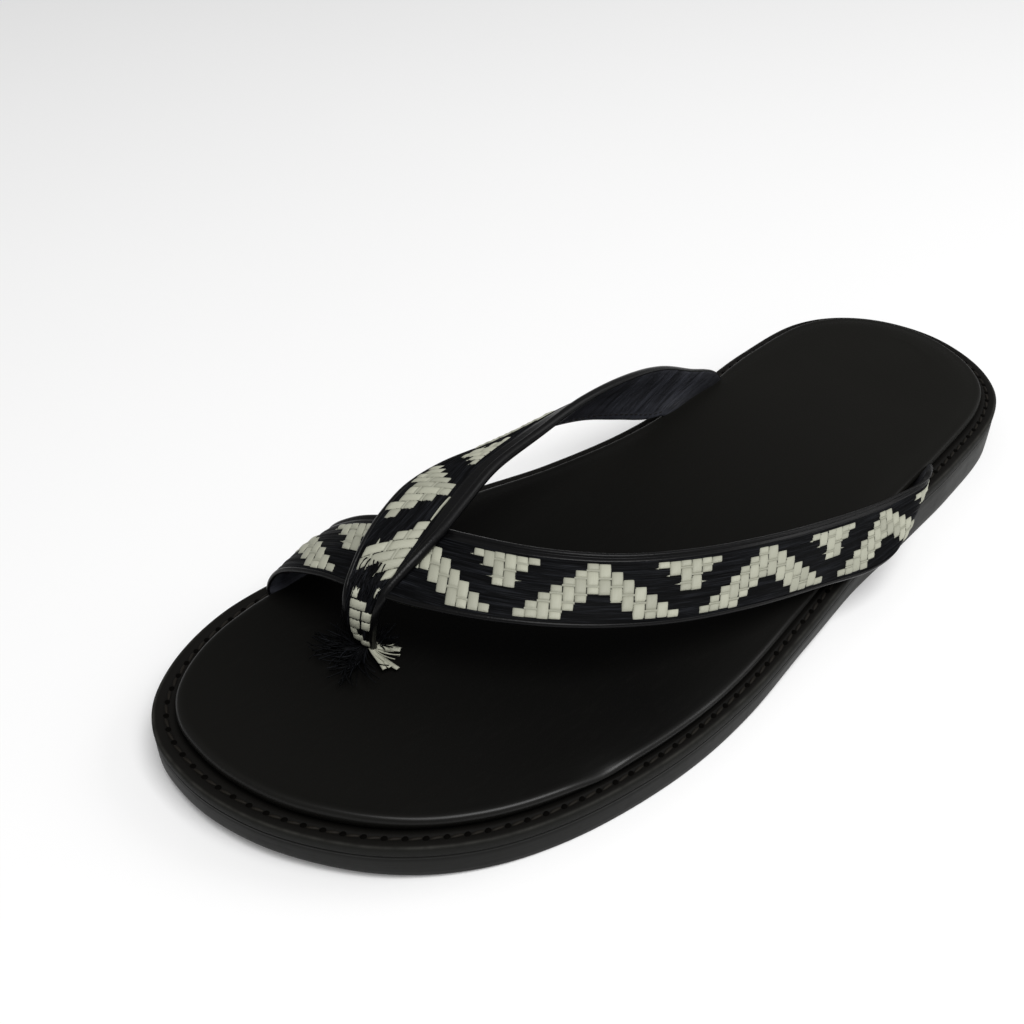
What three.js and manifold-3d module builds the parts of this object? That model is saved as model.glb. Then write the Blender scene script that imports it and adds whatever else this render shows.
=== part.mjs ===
// Left toe post sandal: moulded sole, stitched welt, padded footbed, two raffia faced straps.
// Millimetres, +X to the toe, +Y to the outer (lateral) side, +Z up, sole on z = 0.
import * as THREE from 'three'
import Module from 'manifold-3d'

const wasm = await Module()
wasm.setup()

// Sole sizes
const SOLE_LENGTH = 270
const OUTLINE_STEPS = 3
const FORE_TOP = 9.2
const HEEL_TOP = 13.2
const TOE_SPRING = 2.2
const WELT_THICK = 2.6
const FOOTBED_THICK = 3.4
const RIM_WIDTH = 5.6
const WAIST_RISE = 1.8
const WAIST_BEVEL = 1.6
const HEEL_BREAST = 0.3
const FIT_GAP = 0.3

// Strap sizes
const STRAP_THICK = 2.2
const STRAP_CAMBER = 0.9
const ROLL_WIDTH = 2.4
const ROLL_LIFT = 0.55
const FACE_SINK = 0.6
const RAFFIA_THICK = 0.6
const RAFFIA_ROWS = 8
const RIB_LIFT = 0.22

// Sole outline: fraction of the length from the heel, then the edge on each side of the centre line
const SOLE_ROWS = [
  { at: 0.015, medial: -18.5, lateral: 16.0 },
  { at: 0.05, medial: -30.1, lateral: 28.7 },
  { at: 0.10, medial: -36.4, lateral: 35.8 },
  { at: 0.20, medial: -36.9, lateral: 40.6 },
  { at: 0.30, medial: -34.4, lateral: 43.1 },
  { at: 0.40, medial: -34.8, lateral: 46.3 },
  { at: 0.50, medial: -40.3, lateral: 50.4 },
  { at: 0.60, medial: -48.6, lateral: 53.2 },
  { at: 0.70, medial: -51.8, lateral: 53.0 },
  { at: 0.80, medial: -53.1, lateral: 48.6 },
  { at: 0.87, medial: -53.0, lateral: 41.4 },
  { at: 0.93, medial: -49.4, lateral: 29.0 },
  { at: 0.975, medial: -41.8, lateral: 11.5 },
  { at: 0.995, medial: -30.5, lateral: -4.0 }
]
const HEEL_TIP_SIDE = -1.5
const TOE_TIP_SIDE = -15.5

// Lateral strap: rear and front edge of the outer face, from the outer heel side to the big toe side
const LATERAL_ROWS = [
  { rear: [-69, 37.0, 9.5], front: [-49, 39.5, 9.5] },
  { rear: [-67, 38.6, 15.0], front: [-45, 45.2, 13.4] },
  { rear: [-59.5, 40.2, 18.2], front: [-36, 50.2, 14.0] },
  { rear: [-47, 40.8, 20.5], front: [-25, 50.6, 14.4] },
  { rear: [-27, 39.8, 25.2], front: [-8, 47.2, 17.0] },
  { rear: [-2, 36.3, 31.2], front: [15.8, 43.7, 23.1] },
  { rear: [19.5, 29.0, 34.6], front: [37.4, 36.7, 27.5] },
  { rear: [36.3, 19.2, 36.6], front: [55, 26.6, 30.8] },
  { rear: [48.7, 6.0, 37.4], front: [68.2, 13.5, 32.2] },
  { rear: [57.2, -10.5, 36.6], front: [77.2, -1, 32.0] },
  { rear: [62.5, -27, 34.4], front: [83.0, -16, 30.8] },
  { rear: [66.0, -41, 28.0], front: [86.0, -31, 28.0] },
  { rear: [68.0, -49.5, 19.5], front: [88.4, -44, 21.5] },
  { rear: [67.5, -49.0, 12.5], front: [89.5, -48.4, 14.0] },
  { rear: [67.0, -47.2, 8.5], front: [89.0, -47.6, 8.5] }
]

// Medial strap: from the inner heel side over the lateral strap down to the toe post
const MEDIAL_ROWS = [
  { rear: [-66, -31.0, 10.0], front: [-42, -29.2, 9.0] },
  { rear: [-62, -32.0, 17.5], front: [-37, -30.6, 14.0] },
  { rear: [-50, -32.0, 24.0], front: [-29, -31.8, 16.2] },
  { rear: [-35, -30.5, 32.2], front: [-17, -32.0, 22.0] },
  { rear: [-18, -27.5, 38.4], front: [-2, -32.0, 29.0] },
  { rear: [2, -24.5, 41.9], front: [15, -32.5, 33.5] },
  { rear: [21, -21.5, 41.8], front: [33, -32.0, 37.0] },
  { rear: [38, -19.5, 40.5], front: [46, -32.5, 38.2] },
  { rear: [50, -15.3, 39.6], front: [56, -32.8, 37.6] },
  { rear: [61.3, -11.0, 38.2], front: [66, -30.8, 37.0] },
  { rear: [70, -9.4, 36.2], front: [74, -27.4, 36.4] },
  { rear: [77, -9.6, 33.2], front: [81, -24.0, 34.2] },
  { rear: [82, -10.8, 29.6], front: [86, -21.3, 31.6] },
  { rear: [84, -12.2, 24.0], front: [87.8, -20.0, 27.4] },
  { rear: [83.8, -13.6, 17.5], front: [86.9, -19.6, 20.4] },
  { rear: [82.8, -14.2, 11.5], front: [84.4, -19.6, 13.5] },
  { rear: [82.0, -14.2, 7.0], front: [83.0, -19.6, 7.5] }
]

// Loose raffia ends at the foot of the post: heading, length, lift of the tip, width
const FRAY_ROWS = [
  { heading: 62, reach: 9.5, lift: 1.2, wide: 2.0 },
  { heading: 44, reach: 9.0, lift: 0.6, wide: 1.8 },
  { heading: 24, reach: 10.0, lift: 0.8, wide: 1.7 },
  { heading: 2, reach: 9.0, lift: 0.5, wide: 1.5 },
  { heading: -22, reach: 11.0, lift: 0.8, wide: 1.6 },
  { heading: -44, reach: 12.5, lift: 1.2, wide: 1.5 },
  { heading: -66, reach: 12.0, lift: 2.2, wide: 1.5 },
  { heading: -88, reach: 9.0, lift: 3.2, wide: 1.4 }
]
const FRAY_CENTRE = [87.0, -17.0]

const smooth = (a, b, x) => THREE.MathUtils.smoothstep(x, a, b)
const stationX = at => (at - 0.5) * SOLE_LENGTH
const fraction = x => x / SOLE_LENGTH + 0.5

function weltTop (x) {
  const f = fraction(x)
  const pitch = (HEEL_TOP - FORE_TOP) * (1 - smooth(0.26, 0.62, f))
  const spring = TOE_SPRING * Math.max(0, (f - 0.76) / 0.24) ** 2
  return FORE_TOP + pitch + spring
}
const weltBottom = x => weltTop(x) - WELT_THICK
const outsoleTop = x => weltBottom(x) - FIT_GAP
const footbedBottom = x => weltTop(x) + FIT_GAP
const waist = f => smooth(0.29, 0.38, f) * (1 - smooth(0.44, 0.57, f))

function outsoleBottom (x) {
  const f = fraction(x)
  const spring = TOE_SPRING * Math.max(0, (f - 0.76) / 0.24) ** 2
  const heel = 3.2 * (1 - smooth(0.24, 0.31, f))
  return spring + WAIST_RISE * waist(f) + heel
}

// Closed outline from the heel tip along the lateral side to the toe and back
function makeOutline () {
  const points = [new THREE.Vector3(stationX(0), HEEL_TIP_SIDE, 0)]
  for (const row of SOLE_ROWS) {
    points.push(new THREE.Vector3(stationX(row.at), row.lateral, 0))
  }
  points.push(new THREE.Vector3(stationX(1), TOE_TIP_SIDE, 0))
  for (const row of [...SOLE_ROWS].reverse()) {
    points.push(new THREE.Vector3(stationX(row.at), row.medial, 0))
  }
  const curve = new THREE.CatmullRomCurve3(points, true, 'centripetal')
  const count = points.length * OUTLINE_STEPS
  const edge = []
  for (let i = 0; i < count; i++) {
    const point = curve.getPoint(i / count)
    const tangent = curve.getTangent(i / count)
    edge.push({ x: point.x, y: point.y, nx: -tangent.y, ny: tangent.x })
  }
  const middle = edge[Math.round(count / 4)]
  const inward = middle.ny < 0 ? 1 : -1
  const sides = edge.map(e => e.y)
  const ends = edge.map(e => e.x)
  const sideShift = (Math.min(...sides) + Math.max(...sides)) / 2
  const endShift = (Math.min(...ends) + Math.max(...ends)) / 2
  return edge.map(e => ({
    x: e.x - endShift,
    y: e.y - sideShift,
    nx: e.nx * inward,
    ny: e.ny * inward
  }))
}
const OUTLINE = makeOutline()

function ring (inset, height) {
  return OUTLINE.map(e => {
    const inside = typeof inset === 'function' ? inset(e.x) : inset
    const x = e.x + e.nx * inside
    const y = e.y + e.ny * inside
    return [x, y, height(x)]
  })
}

// Solid between rings stacked from the lowest to the highest, closed by strips across
function ringSolid (rings) {
  const count = rings[0].length
  const positions = rings.flat(2)
  const faces = []
  for (let r = 0; r + 1 < rings.length; r++) {
    for (let i = 0; i < count; i++) {
      const a = r * count + i
      const b = r * count + (i + 1) % count
      faces.push(a, a + count, b, b, a + count, b + count)
    }
  }
  const caps = [[0, false], [(rings.length - 1) * count, true]]
  for (const [base, up] of caps) {
    for (let i = 0; i < count / 2; i++) {
      const left = base + i
      const leftNext = base + i + 1
      const right = base + (count - i) % count
      const rightNext = base + count - i - 1
      const pairs = [[left, right, leftNext], [right, rightNext, leftNext]]
      for (const [a, b, c] of pairs) {
        if (a !== b && b !== c && a !== c) {
          faces.push(...(up ? [a, b, c] : [a, c, b]))
        }
      }
    }
  }
  return solid(positions, faces)
}

// Manifold solid, turned the right way out
function solid (positions, faces) {
  const make = list => new wasm.Manifold(new wasm.Mesh({
    numProp: 3,
    vertProperties: new Float32Array(positions),
    triVerts: new Uint32Array(list)
  }))
  const first = make(faces)
  if (first.volume() > 0) return first
  const turned = []
  for (let i = 0; i < faces.length; i += 3) turned.push(faces[i], faces[i + 2], faces[i + 1])
  return make(turned)
}

function fromGeometry (geometry) {
  const mesh = geometry.toNonIndexed()
  const spots = mesh.getAttribute('position')
  const keys = new Map()
  const positions = []
  const faces = []
  for (let i = 0; i < spots.count; i++) {
    const p = [spots.getX(i), spots.getY(i), spots.getZ(i)]
    const key = p.map(v => Math.round(v * 1e4)).join()
    if (!keys.has(key)) {
      keys.set(key, positions.length / 3)
      positions.push(...p)
    }
    faces.push(keys.get(key))
  }
  return solid(positions, faces)
}

// One strap: rails through the rows, then named ways to build its wall and its raffia face
class Strap {
  constructor (rows, steps, outward) {
    const rail = key => new THREE.CatmullRomCurve3(
      rows.map(row => new THREE.Vector3(...row[key])), false, 'centripetal')
    this.rear = rail('rear')
    this.front = rail('front')
    this.steps = steps
    this.outward = outward
  }

  station (t) {
    const rear = this.rear.getPoint(t)
    const front = this.front.getPoint(t)
    const before = Math.max(0, t - 0.01)
    const after = Math.min(1, t + 0.01)
    const along = this.rear.getPoint(after).add(this.front.getPoint(after))
    along.sub(this.rear.getPoint(before)).sub(this.front.getPoint(before)).normalize()
    const across = front.clone().sub(rear)
    const width = across.length()
    const normal = new THREE.Vector3().crossVectors(along, across).normalize()
    normal.multiplyScalar(this.outward)
    return { rear, across, width, normal }
  }

  sweep (profile, first = 0, end = this.steps) {
    const positions = []
    let count = 0
    for (let i = first; i <= end; i++) {
      const spot = this.station(i / this.steps)
      const points = profile(spot.width)
      count = points.length
      for (const [k, lift] of points) {
        const camber = STRAP_CAMBER * 4 * k * (1 - k)
        const p = spot.rear.clone().addScaledVector(spot.across, k)
        p.addScaledVector(spot.normal, camber + lift)
        positions.push(p.x, p.y, p.z)
      }
    }
    const faces = []
    for (let i = 0; i < end - first; i++) {
      for (let j = 0; j < count; j++) {
        const a = i * count + j
        const b = i * count + (j + 1) % count
        faces.push(a, b, a + count, b, b + count, a + count)
      }
    }
    const outline = profile(10).map(([k, lift]) => new THREE.Vector2(k * 10, lift))
    const last = (end - first) * count
    const turn = Math.sign(THREE.ShapeUtils.area(outline))
    for (const [a, d, e] of THREE.ShapeUtils.triangulateShape(outline, [])) {
      const same = THREE.ShapeUtils.area([outline[a], outline[d], outline[e]]) * turn > 0
      const [b, c] = same ? [d, e] : [e, d]
      faces.push(a, c, b, last + a, last + b, last + c)
    }
    return solid(positions, faces)
  }
}

const rollShare = width => Math.min(ROLL_WIDTH / width, 0.26)

// Leather wall with a rolled edge on each side; grow widens it all round
function wallProfile (grow, deep = 0) {
  return width => {
    const roll = rollShare(width)
    const out = grow / width
    const face = grow > 0 ? ROLL_LIFT + grow : -FACE_SINK
    const half = [
      [-out, -STRAP_THICK * 0.5],
      [roll * 0.12 - out, -0.1 + grow],
      [roll * 0.5, ROLL_LIFT + grow],
      [roll * 0.88, grow > 0 ? face : 0.1],
      [roll, face]
    ]
    const base = -STRAP_THICK - grow - deep
    const under = [[1 - roll * 0.3 + out, base + 0.1], [0.5, base], [roll * 0.3 - out, base + 0.1]]
    const top = [...half, [0.5, face], ...mirrored(half)]
    return [...top, ...under]
  }
}
const mirrored = list => [...list].reverse().map(([k, lift]) => [1 - k, lift])

// Raffia face: one thin wall with the woven rows raised as low ribs
function raffiaProfile (width) {
  const edge = rollShare(width) + FIT_GAP / width
  const floor = -FACE_SINK + FIT_GAP
  const top = floor + RAFFIA_THICK
  const points = [[edge, floor]]
  for (let row = 0; row < RAFFIA_ROWS; row++) {
    const step = (1 - 2 * edge) / RAFFIA_ROWS
    if (row === 0) points.push([edge, top])
    points.push([edge + step * (row + 0.5), top + RIB_LIFT])
    points.push([edge + step * (row + 1), top])
  }
  points.push([1 - edge, floor], [0.5, floor])
  return points
}

const lateral = new Strap(LATERAL_ROWS, 40, 1)
const medial = new Strap(MEDIAL_ROWS, 48, -1)

// Outsole: thin moulded sheet with a bevelled waist, and the low heel block under its rear
const bevel = depth => x => depth + WAIST_BEVEL * waist(fraction(x)) * Math.min(1, depth / 0.25)
const sheet = ringSolid([
  ring(bevel(0.7), outsoleBottom),
  ring(bevel(0.2), x => outsoleBottom(x) + 0.5),
  ring(bevel(0.1), x => outsoleBottom(x) * 0.5 + outsoleTop(x) * 0.5),
  ring(0.2, x => outsoleTop(x) - 0.9),
  ring(0.8, outsoleTop)
])
const block = ringSolid([
  ring(0.8, () => 0),
  ring(0.3, () => 0.5),
  ring(0.2, x => outsoleTop(x) - 2.2)
])
const breastX = stationX(HEEL_BREAST)
const rearHalf = new THREE.BoxGeometry(200, 200, 60)
rearHalf.translate(breastX - 100, 0, 0)
const outsole = sheet.add(block.intersect(fromGeometry(rearHalf)))

const welt = ringSolid([
  ring(1.0, weltBottom),
  ring(0.1, x => weltBottom(x) + 0.5),
  ring(0, x => weltTop(x) - 0.8),
  ring(0.3, x => weltTop(x) - 0.2),
  ring(0.9, weltTop)
])

// Everything above the welt is trimmed to stand just clear of it
const trim = ringSolid([
  ring(-FIT_GAP, () => -2),
  ring(-FIT_GAP, footbedBottom)
])

const straps = lateral.sweep(wallProfile(0)).add(medial.sweep(wallProfile(0)))
const upper = straps.subtract(trim)

const strapRoom = lateral.sweep(wallProfile(FIT_GAP)).add(medial.sweep(wallProfile(FIT_GAP)))
const cushion = ringSolid([
  ring(RIM_WIDTH + 0.6, footbedBottom),
  ring(RIM_WIDTH + 0.1, x => footbedBottom(x) + 0.9),
  ring(RIM_WIDTH, x => footbedBottom(x) + 1.9),
  ring(RIM_WIDTH + 0.5, x => footbedBottom(x) + 2.8),
  ring(RIM_WIDTH + 1.5, x => footbedBottom(x) + FOOTBED_THICK - 0.1),
  ring(RIM_WIDTH + 2.6, x => footbedBottom(x) + FOOTBED_THICK - 0.15),
  ring(RIM_WIDTH + 4.2, x => footbedBottom(x) + FOOTBED_THICK - 0.5)
])
const footbed = cushion.subtract(strapRoom)

// Raffia faces; the lateral one stops on each side of the medial strap
const overMedial = medial.sweep(wallProfile(FIT_GAP, 3))
const lateralFace = lateral.sweep(raffiaProfile).subtract(overMedial).subtract(trim)
const lateralParts = lateralFace.decompose().sort((a, b) => b.volume() - a.volume())
const medialFace = medial.sweep(raffiaProfile, 0, 45).subtract(trim)

// Loose ends: flat tapering strips fused on a low knot in front of the post
function frayStrip (row) {
  const turn = THREE.MathUtils.degToRad(row.heading)
  const strip = new THREE.BoxGeometry(row.reach, row.wide, 0.9, 3, 1, 1)
  strip.translate(row.reach / 2, 0, 0)
  const spots = strip.getAttribute('position')
  for (let i = 0; i < spots.count; i++) {
    const share = spots.getX(i) / row.reach
    spots.setY(i, spots.getY(i) * (1 - 0.45 * share))
    spots.setZ(i, spots.getZ(i) * (1 - 0.4 * share) + row.lift * share * share)
  }
  strip.rotateZ(turn)
  return strip
}
const knotHeight = footbedBottom(FRAY_CENTRE[0]) + FOOTBED_THICK + 1.3
const knotShape = new THREE.SphereGeometry(3.4, 14, 8)
knotShape.scale(0.9, 1.25, 0.5)
knotShape.translate(FRAY_CENTRE[0], FRAY_CENTRE[1], knotHeight + 0.2)
let bunch = fromGeometry(knotShape)
for (const row of FRAY_ROWS) {
  const strip = frayStrip(row)
  strip.translate(FRAY_CENTRE[0], FRAY_CENTRE[1], knotHeight - 0.5)
  bunch = bunch.add(fromGeometry(strip))
}
const bedRoom = ringSolid([
  ring(RIM_WIDTH - 3, () => 0),
  ring(RIM_WIDTH - 3, x => footbedBottom(x) + FOOTBED_THICK - 0.2)
])
const frayParts = bunch.subtract(strapRoom).subtract(bedRoom).decompose()
const fray = frayParts.sort((a, b) => b.volume() - a.volume())[0]

const MATERIALS = {
  rubber: new THREE.MeshStandardMaterial({ color: 0x232422, roughness: 0.6 }),
  welt: new THREE.MeshStandardMaterial({ color: 0x1e1916, roughness: 0.6 }),
  leather: new THREE.MeshStandardMaterial({ color: 0x181715, roughness: 0.5 }),
  strap: new THREE.MeshStandardMaterial({ color: 0x141416, roughness: 0.45 }),
  raffia: new THREE.MeshStandardMaterial({ color: 0xd0cbb9, roughness: 0.6 })
}

const sandal = new THREE.Group()
function place (name, shape, material) {
  const data = shape.getMesh()
  const geometry = new THREE.BufferGeometry()
  const positions = []
  for (let i = 0; i < data.vertProperties.length; i += data.numProp) {
    positions.push(data.vertProperties[i], data.vertProperties[i + 1], data.vertProperties[i + 2])
  }
  geometry.setAttribute('position', new THREE.Float32BufferAttribute(positions, 3))
  geometry.setIndex([...data.triVerts])
  geometry.computeVertexNormals()
  const mesh = new THREE.Mesh(geometry, material)
  mesh.name = name
  sandal.add(mesh)
}

place('outsole', outsole, MATERIALS.rubber)
place('welt', welt, MATERIALS.welt)
place('footbed', footbed, MATERIALS.leather)
place('upper', upper, MATERIALS.strap)
place('raffia_lateral', lateralParts[0], MATERIALS.raffia)
place('raffia_front', lateralParts[1], MATERIALS.raffia)
place('raffia_medial', medialFace, MATERIALS.raffia)
place('fray', fray, MATERIALS.raffia)

export default sandal
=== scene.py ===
"""Looks of a left toe post sandal: padded footbed, stitched welt, two raffia faced straps."""
import math

import bmesh
import bpy
import numpy as np
from bpy.props import FloatProperty, FloatVectorProperty, IntProperty, PointerProperty
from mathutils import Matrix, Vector


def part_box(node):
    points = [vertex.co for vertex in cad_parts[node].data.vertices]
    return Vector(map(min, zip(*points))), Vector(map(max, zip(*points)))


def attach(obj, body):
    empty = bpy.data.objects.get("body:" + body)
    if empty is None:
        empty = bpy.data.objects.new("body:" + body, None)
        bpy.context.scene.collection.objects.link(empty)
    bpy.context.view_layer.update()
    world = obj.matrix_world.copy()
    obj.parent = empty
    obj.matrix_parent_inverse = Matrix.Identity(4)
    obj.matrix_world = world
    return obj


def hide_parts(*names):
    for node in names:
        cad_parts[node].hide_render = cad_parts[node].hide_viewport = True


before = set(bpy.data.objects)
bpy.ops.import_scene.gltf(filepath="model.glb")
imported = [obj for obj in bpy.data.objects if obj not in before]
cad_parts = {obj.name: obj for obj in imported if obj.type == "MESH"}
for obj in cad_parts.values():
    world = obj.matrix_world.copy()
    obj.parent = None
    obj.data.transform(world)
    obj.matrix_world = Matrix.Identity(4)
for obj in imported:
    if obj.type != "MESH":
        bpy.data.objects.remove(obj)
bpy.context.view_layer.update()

bl_info = {
    "name": "Toe post sandal",
    "version": (1, 0, 0),
    "blender": (4, 5, 0),
    "location": "View3D > Sidebar > Sandal",
    "description": "Builds a left toe post sandal with woven raffia straps around its frame",
    "category": "Add Mesh",
}

MM = 0.001
SOLE_LOW, SOLE_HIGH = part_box("welt")
SOLE_LENGTH = SOLE_HIGH.x - SOLE_LOW.x

# Sole outline in millimetres: share of the length from the heel, then the edge on each side
SOLE_ROWS = [
    {"at": 0.015, "medial": -18.5, "lateral": 16.0},
    {"at": 0.05, "medial": -30.1, "lateral": 28.7},
    {"at": 0.10, "medial": -36.4, "lateral": 35.8},
    {"at": 0.20, "medial": -36.9, "lateral": 40.6},
    {"at": 0.30, "medial": -34.4, "lateral": 43.1},
    {"at": 0.40, "medial": -34.8, "lateral": 46.3},
    {"at": 0.50, "medial": -40.3, "lateral": 50.4},
    {"at": 0.60, "medial": -48.6, "lateral": 53.7},
    {"at": 0.70, "medial": -51.8, "lateral": 53.6},
    {"at": 0.80, "medial": -53.5, "lateral": 48.8},
    {"at": 0.87, "medial": -52.6, "lateral": 41.0},
    {"at": 0.93, "medial": -46.8, "lateral": 28.3},
    {"at": 0.975, "medial": -37.3, "lateral": 11.0},
    {"at": 0.995, "medial": -27.2, "lateral": -3.8},
]
HEEL_TIP_SIDE = -1.5
TOE_TIP_SIDE = -15.5
OUTLINE_SAMPLES = 480

# Strap edges in millimetres, row by row from the heel end
LATERAL_ROWS = [
    {"rear": (-72.2, 35.8, 9.5), "front": (-49, 39.5, 9.5)},
    {"rear": (-70.8, 38.0, 16.2), "front": (-45, 45.2, 13.4)},
    {"rear": (-62.2, 41.2, 18.4), "front": (-36, 50.2, 14.0)},
    {"rear": (-47, 40.8, 20.5), "front": (-25, 50.6, 14.4)},
    {"rear": (-27, 39.8, 25.2), "front": (-8, 47.2, 17.0)},
    {"rear": (-2, 36.3, 31.2), "front": (15.8, 43.7, 23.1)},
    {"rear": (19.5, 29.0, 34.6), "front": (37.4, 36.7, 27.5)},
    {"rear": (36.3, 19.2, 36.6), "front": (55, 26.6, 30.8)},
    {"rear": (48.7, 6.0, 37.4), "front": (68.2, 13.5, 32.2)},
    {"rear": (57.2, -10.5, 36.6), "front": (77.2, -1, 32.0)},
    {"rear": (62.5, -27, 34.4), "front": (83.0, -16, 30.8)},
    {"rear": (66.0, -41, 28.0), "front": (86.0, -31, 28.0)},
    {"rear": (68.0, -49.5, 19.5), "front": (88.4, -44, 21.5)},
    {"rear": (67.5, -49.0, 12.5), "front": (89.5, -48.4, 14.0)},
    {"rear": (67.0, -47.2, 8.5), "front": (89.0, -47.6, 8.5)},
]
MEDIAL_ROWS = [
    {"rear": (-66, -31.0, 10.0), "front": (-42, -29.2, 9.0)},
    {"rear": (-62, -32.0, 17.5), "front": (-37, -30.6, 14.0)},
    {"rear": (-50, -32.0, 24.0), "front": (-29, -31.8, 16.2)},
    {"rear": (-35, -30.5, 32.2), "front": (-17, -32.0, 22.0)},
    {"rear": (-18, -27.5, 38.4), "front": (-2, -32.0, 29.0)},
    {"rear": (2, -24.5, 41.9), "front": (15, -32.5, 33.5)},
    {"rear": (21.2, -21.7, 41.7), "front": (33, -32.2, 37.0)},
    {"rear": (38.1, -19.6, 40.5), "front": (46, -33.0, 38.2)},
    {"rear": (50.2, -15.8, 39.5), "front": (56.3, -33.0, 37.5)},
    {"rear": (61.6, -12.2, 38.1), "front": (65.8, -29.9, 37.1)},
    {"rear": (70.2, -10.5, 36.2), "front": (73.7, -26.2, 36.4)},
    {"rear": (77.2, -10.2, 33.2), "front": (80.6, -22.7, 34.1)},
    {"rear": (81.7, -10.1, 29.5), "front": (85.5, -19.9, 31.3)},
    {"rear": (83.6, -10.8, 23.7), "front": (87.5, -18.6, 27.1)},
    {"rear": (83.7, -12.1, 17.4), "front": (87.1, -18.6, 20.5)},
    {"rear": (83.0, -13.0, 11.8), "front": (84.8, -18.8, 13.8)},
    {"rear": (82.3, -13.2, 7.2), "front": (83.4, -18.8, 7.6)},
]
POST_FOOT = Vector((83.6, -15.0, 13.2)) * MM
# Samples along a strap, lanes across it and samples that smooth its normals
STRAP_SAMPLES = 900
STRAP_LANES = 9
NORMAL_BLUR = 15
# A strap without a pinch has it far past its end
NO_PINCH = 1.0
# Rows along the leather, columns of the bed between the rolls and columns of the lining
WALL_ROWS = 320
BED_COLUMNS = 8
LINING_COLUMNS = 17
# Depths under the strap's face of the rolls' axes and of the bed, and the bed's margin in shares
ROLL_DEPTH = 0.55 * MM
BED_DEPTH = 0.6 * MM
BED_MARGIN = 0.02
# Arc of a rolled edge in degrees, and its steps
ROLL_ARC = (-70, 160)
ROLL_STEPS = 13
# Stretch of the lining at its heel end that gets painted shade, where the strap goes down into the
# sole
LINING_END = 16 * MM
# Stitches of the lining: share across, pitch, start, length left free and depth
LINING_SEAM_SHARE = 0.87
LINING_SEAM_PITCH = 2.6 * MM
LINING_SEAM_START = 14 * MM
LINING_SEAM_SPARE = 60 * MM
LINING_SEAM_DEPTH = 1.96 * MM
# Stitches of the welt: share of the rim, then distance further in and depth
WELT_SEAM_SHARE = 0.45
WELT_SEAM_MIDDLE = 0.75 * MM
WELT_SEAM_DEPTH = 0.12 * MM
# Half length, half width and half height of a drop, then its slant, in millimetres
WELT_THREAD = ((1.5, 0.42, 0.3), 0.22)
# The dark drop paints the shade of the dent that each stitch pulls into the welt.
WELT_DENT_SHADE = ((0.8, 0.85, 0.1), 0.25)
# Colour of the welt's worn outer edge
WORN_EDGE = (0.034, 0.033, 0.029)
# Dents in the bead of the footbed, in millimetres: place, reach and depth
BEAD_DENTS = [(69, 47, 5.5, 0.9), (33, 50, 7, 0.3), (104, 31, 8, 0.25), (-60, -31, 8, 0.35)]
# Doubles nearer than this are one vertex
MERGE = 1e-6

# Woven rows that show cream in each column of one repeat, counted from the rear edge
WEAVE_CHART = [
    [(0, 4)],
    [(0, 2), (6, 7)],
    [(0, 1), (5, 7)],
    [(4, 7)],
    [(3, 7)],
    [(2, 6)],
    [(1, 5)],
    [(0, 4)],
    [(0, 4)],
    [(1, 5)],
    [(2, 6)],
    [(3, 7)],
    [(4, 7)],
    [(0, 1), (5, 7)],
    [(0, 2), (6, 7)],
    [(0, 4)],
]
# Thin strip ends that run on past a step: column edge, row, length in columns
WEAVE_SPIKES = [(3, 0.88, 0.3), (2, 1.9, 0.3), (1, 3.05, 0.55), (15, 3.05, -0.55)]
WEAVE_ROWS = 7
# Least width of a pale strip and the last share across at which one starts
LEAST_STRIP = 0.04
LAST_STRIP = 0.86
# Dark floats: rows along the strap, steps in one rib, window that smooths the fibres
FLOAT_ROWS = 420
RIB_STEPS = 10
FIBRE_WINDOW = 81
# Dark threads at the fold over the post, and how many of them lie in front
FOLD_THREADS = 60
FRONT_THREADS = 6
# How the weave lies on each strap: column, its place at row 0 and its lean, in millimetres
LATERAL_COLUMNS = [
    (-3, 0.5, 0.0),
    (8, 30.5, 0.0),
    (16, 51.6, 0.0),
    (24, 75.6, 0.0),
    (32, 96.9, 0.0),
    (40, 119.1, 0.0),
    (48, 140.5, 0.0),
    (64, 181.0, 0.0),
    (76, 212.1, 0.0),
]
MEDIAL_COLUMNS = [
    (-32, 5.0, 5.0),
    (-16, 53.0, 6.0),
    (0, 98.0, 6.0),
    (8, 114.4, 4.0),
    (13, 125.9, 10.0),
    (16, 134.6, 10.5),
    (19, 143.4, 10.5),
]
# Place along the strap in millimetres, share across at row 0 and height of a row in shares
LATERAL_ROW_SIZES = [(0.0, 0.165, 0.109), (210.0, 0.165, 0.109)]
MEDIAL_ROW_SIZES = [
    (0.0, 0.16, 0.110),
    (44.0, 0.18, 0.106),
    (64.0, 0.40, 0.078),
    (86.0, 0.42, 0.078),
    (98.0, 0.35, 0.090),
    (114.4, 0.29, 0.143),
    (125.9, 0.235, 0.160),
    (134.0, 0.19, 0.170),
    (143.0, 0.15, 0.170),
    (150.0, 0.12, 0.140),
]
# Last pale strips on the toe post: from and to in millimetres along, from and to in shares across
POST_STRIPS = [
    (116.8, 126.0, 0.240, 0.262),
    (148.0, 150.8, 0.60, 0.76),
    (151.0, 153.3, 0.34, 0.76),
    (153.5, 156.0, 0.44, 0.75),
    (153.3, 155.9, 0.18, 0.42),
    (156.2, 159.0, 0.42, 0.74),
    (156.1, 158.7, 0.14, 0.40),
    (159.2, 161.4, 0.50, 0.74),
    (161.1, 163.4, 0.34, 0.70),
    (162.8, 164.8, 0.12, 0.45),
    (146.6, 149.4, 0.20, 0.28),
]
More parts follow.
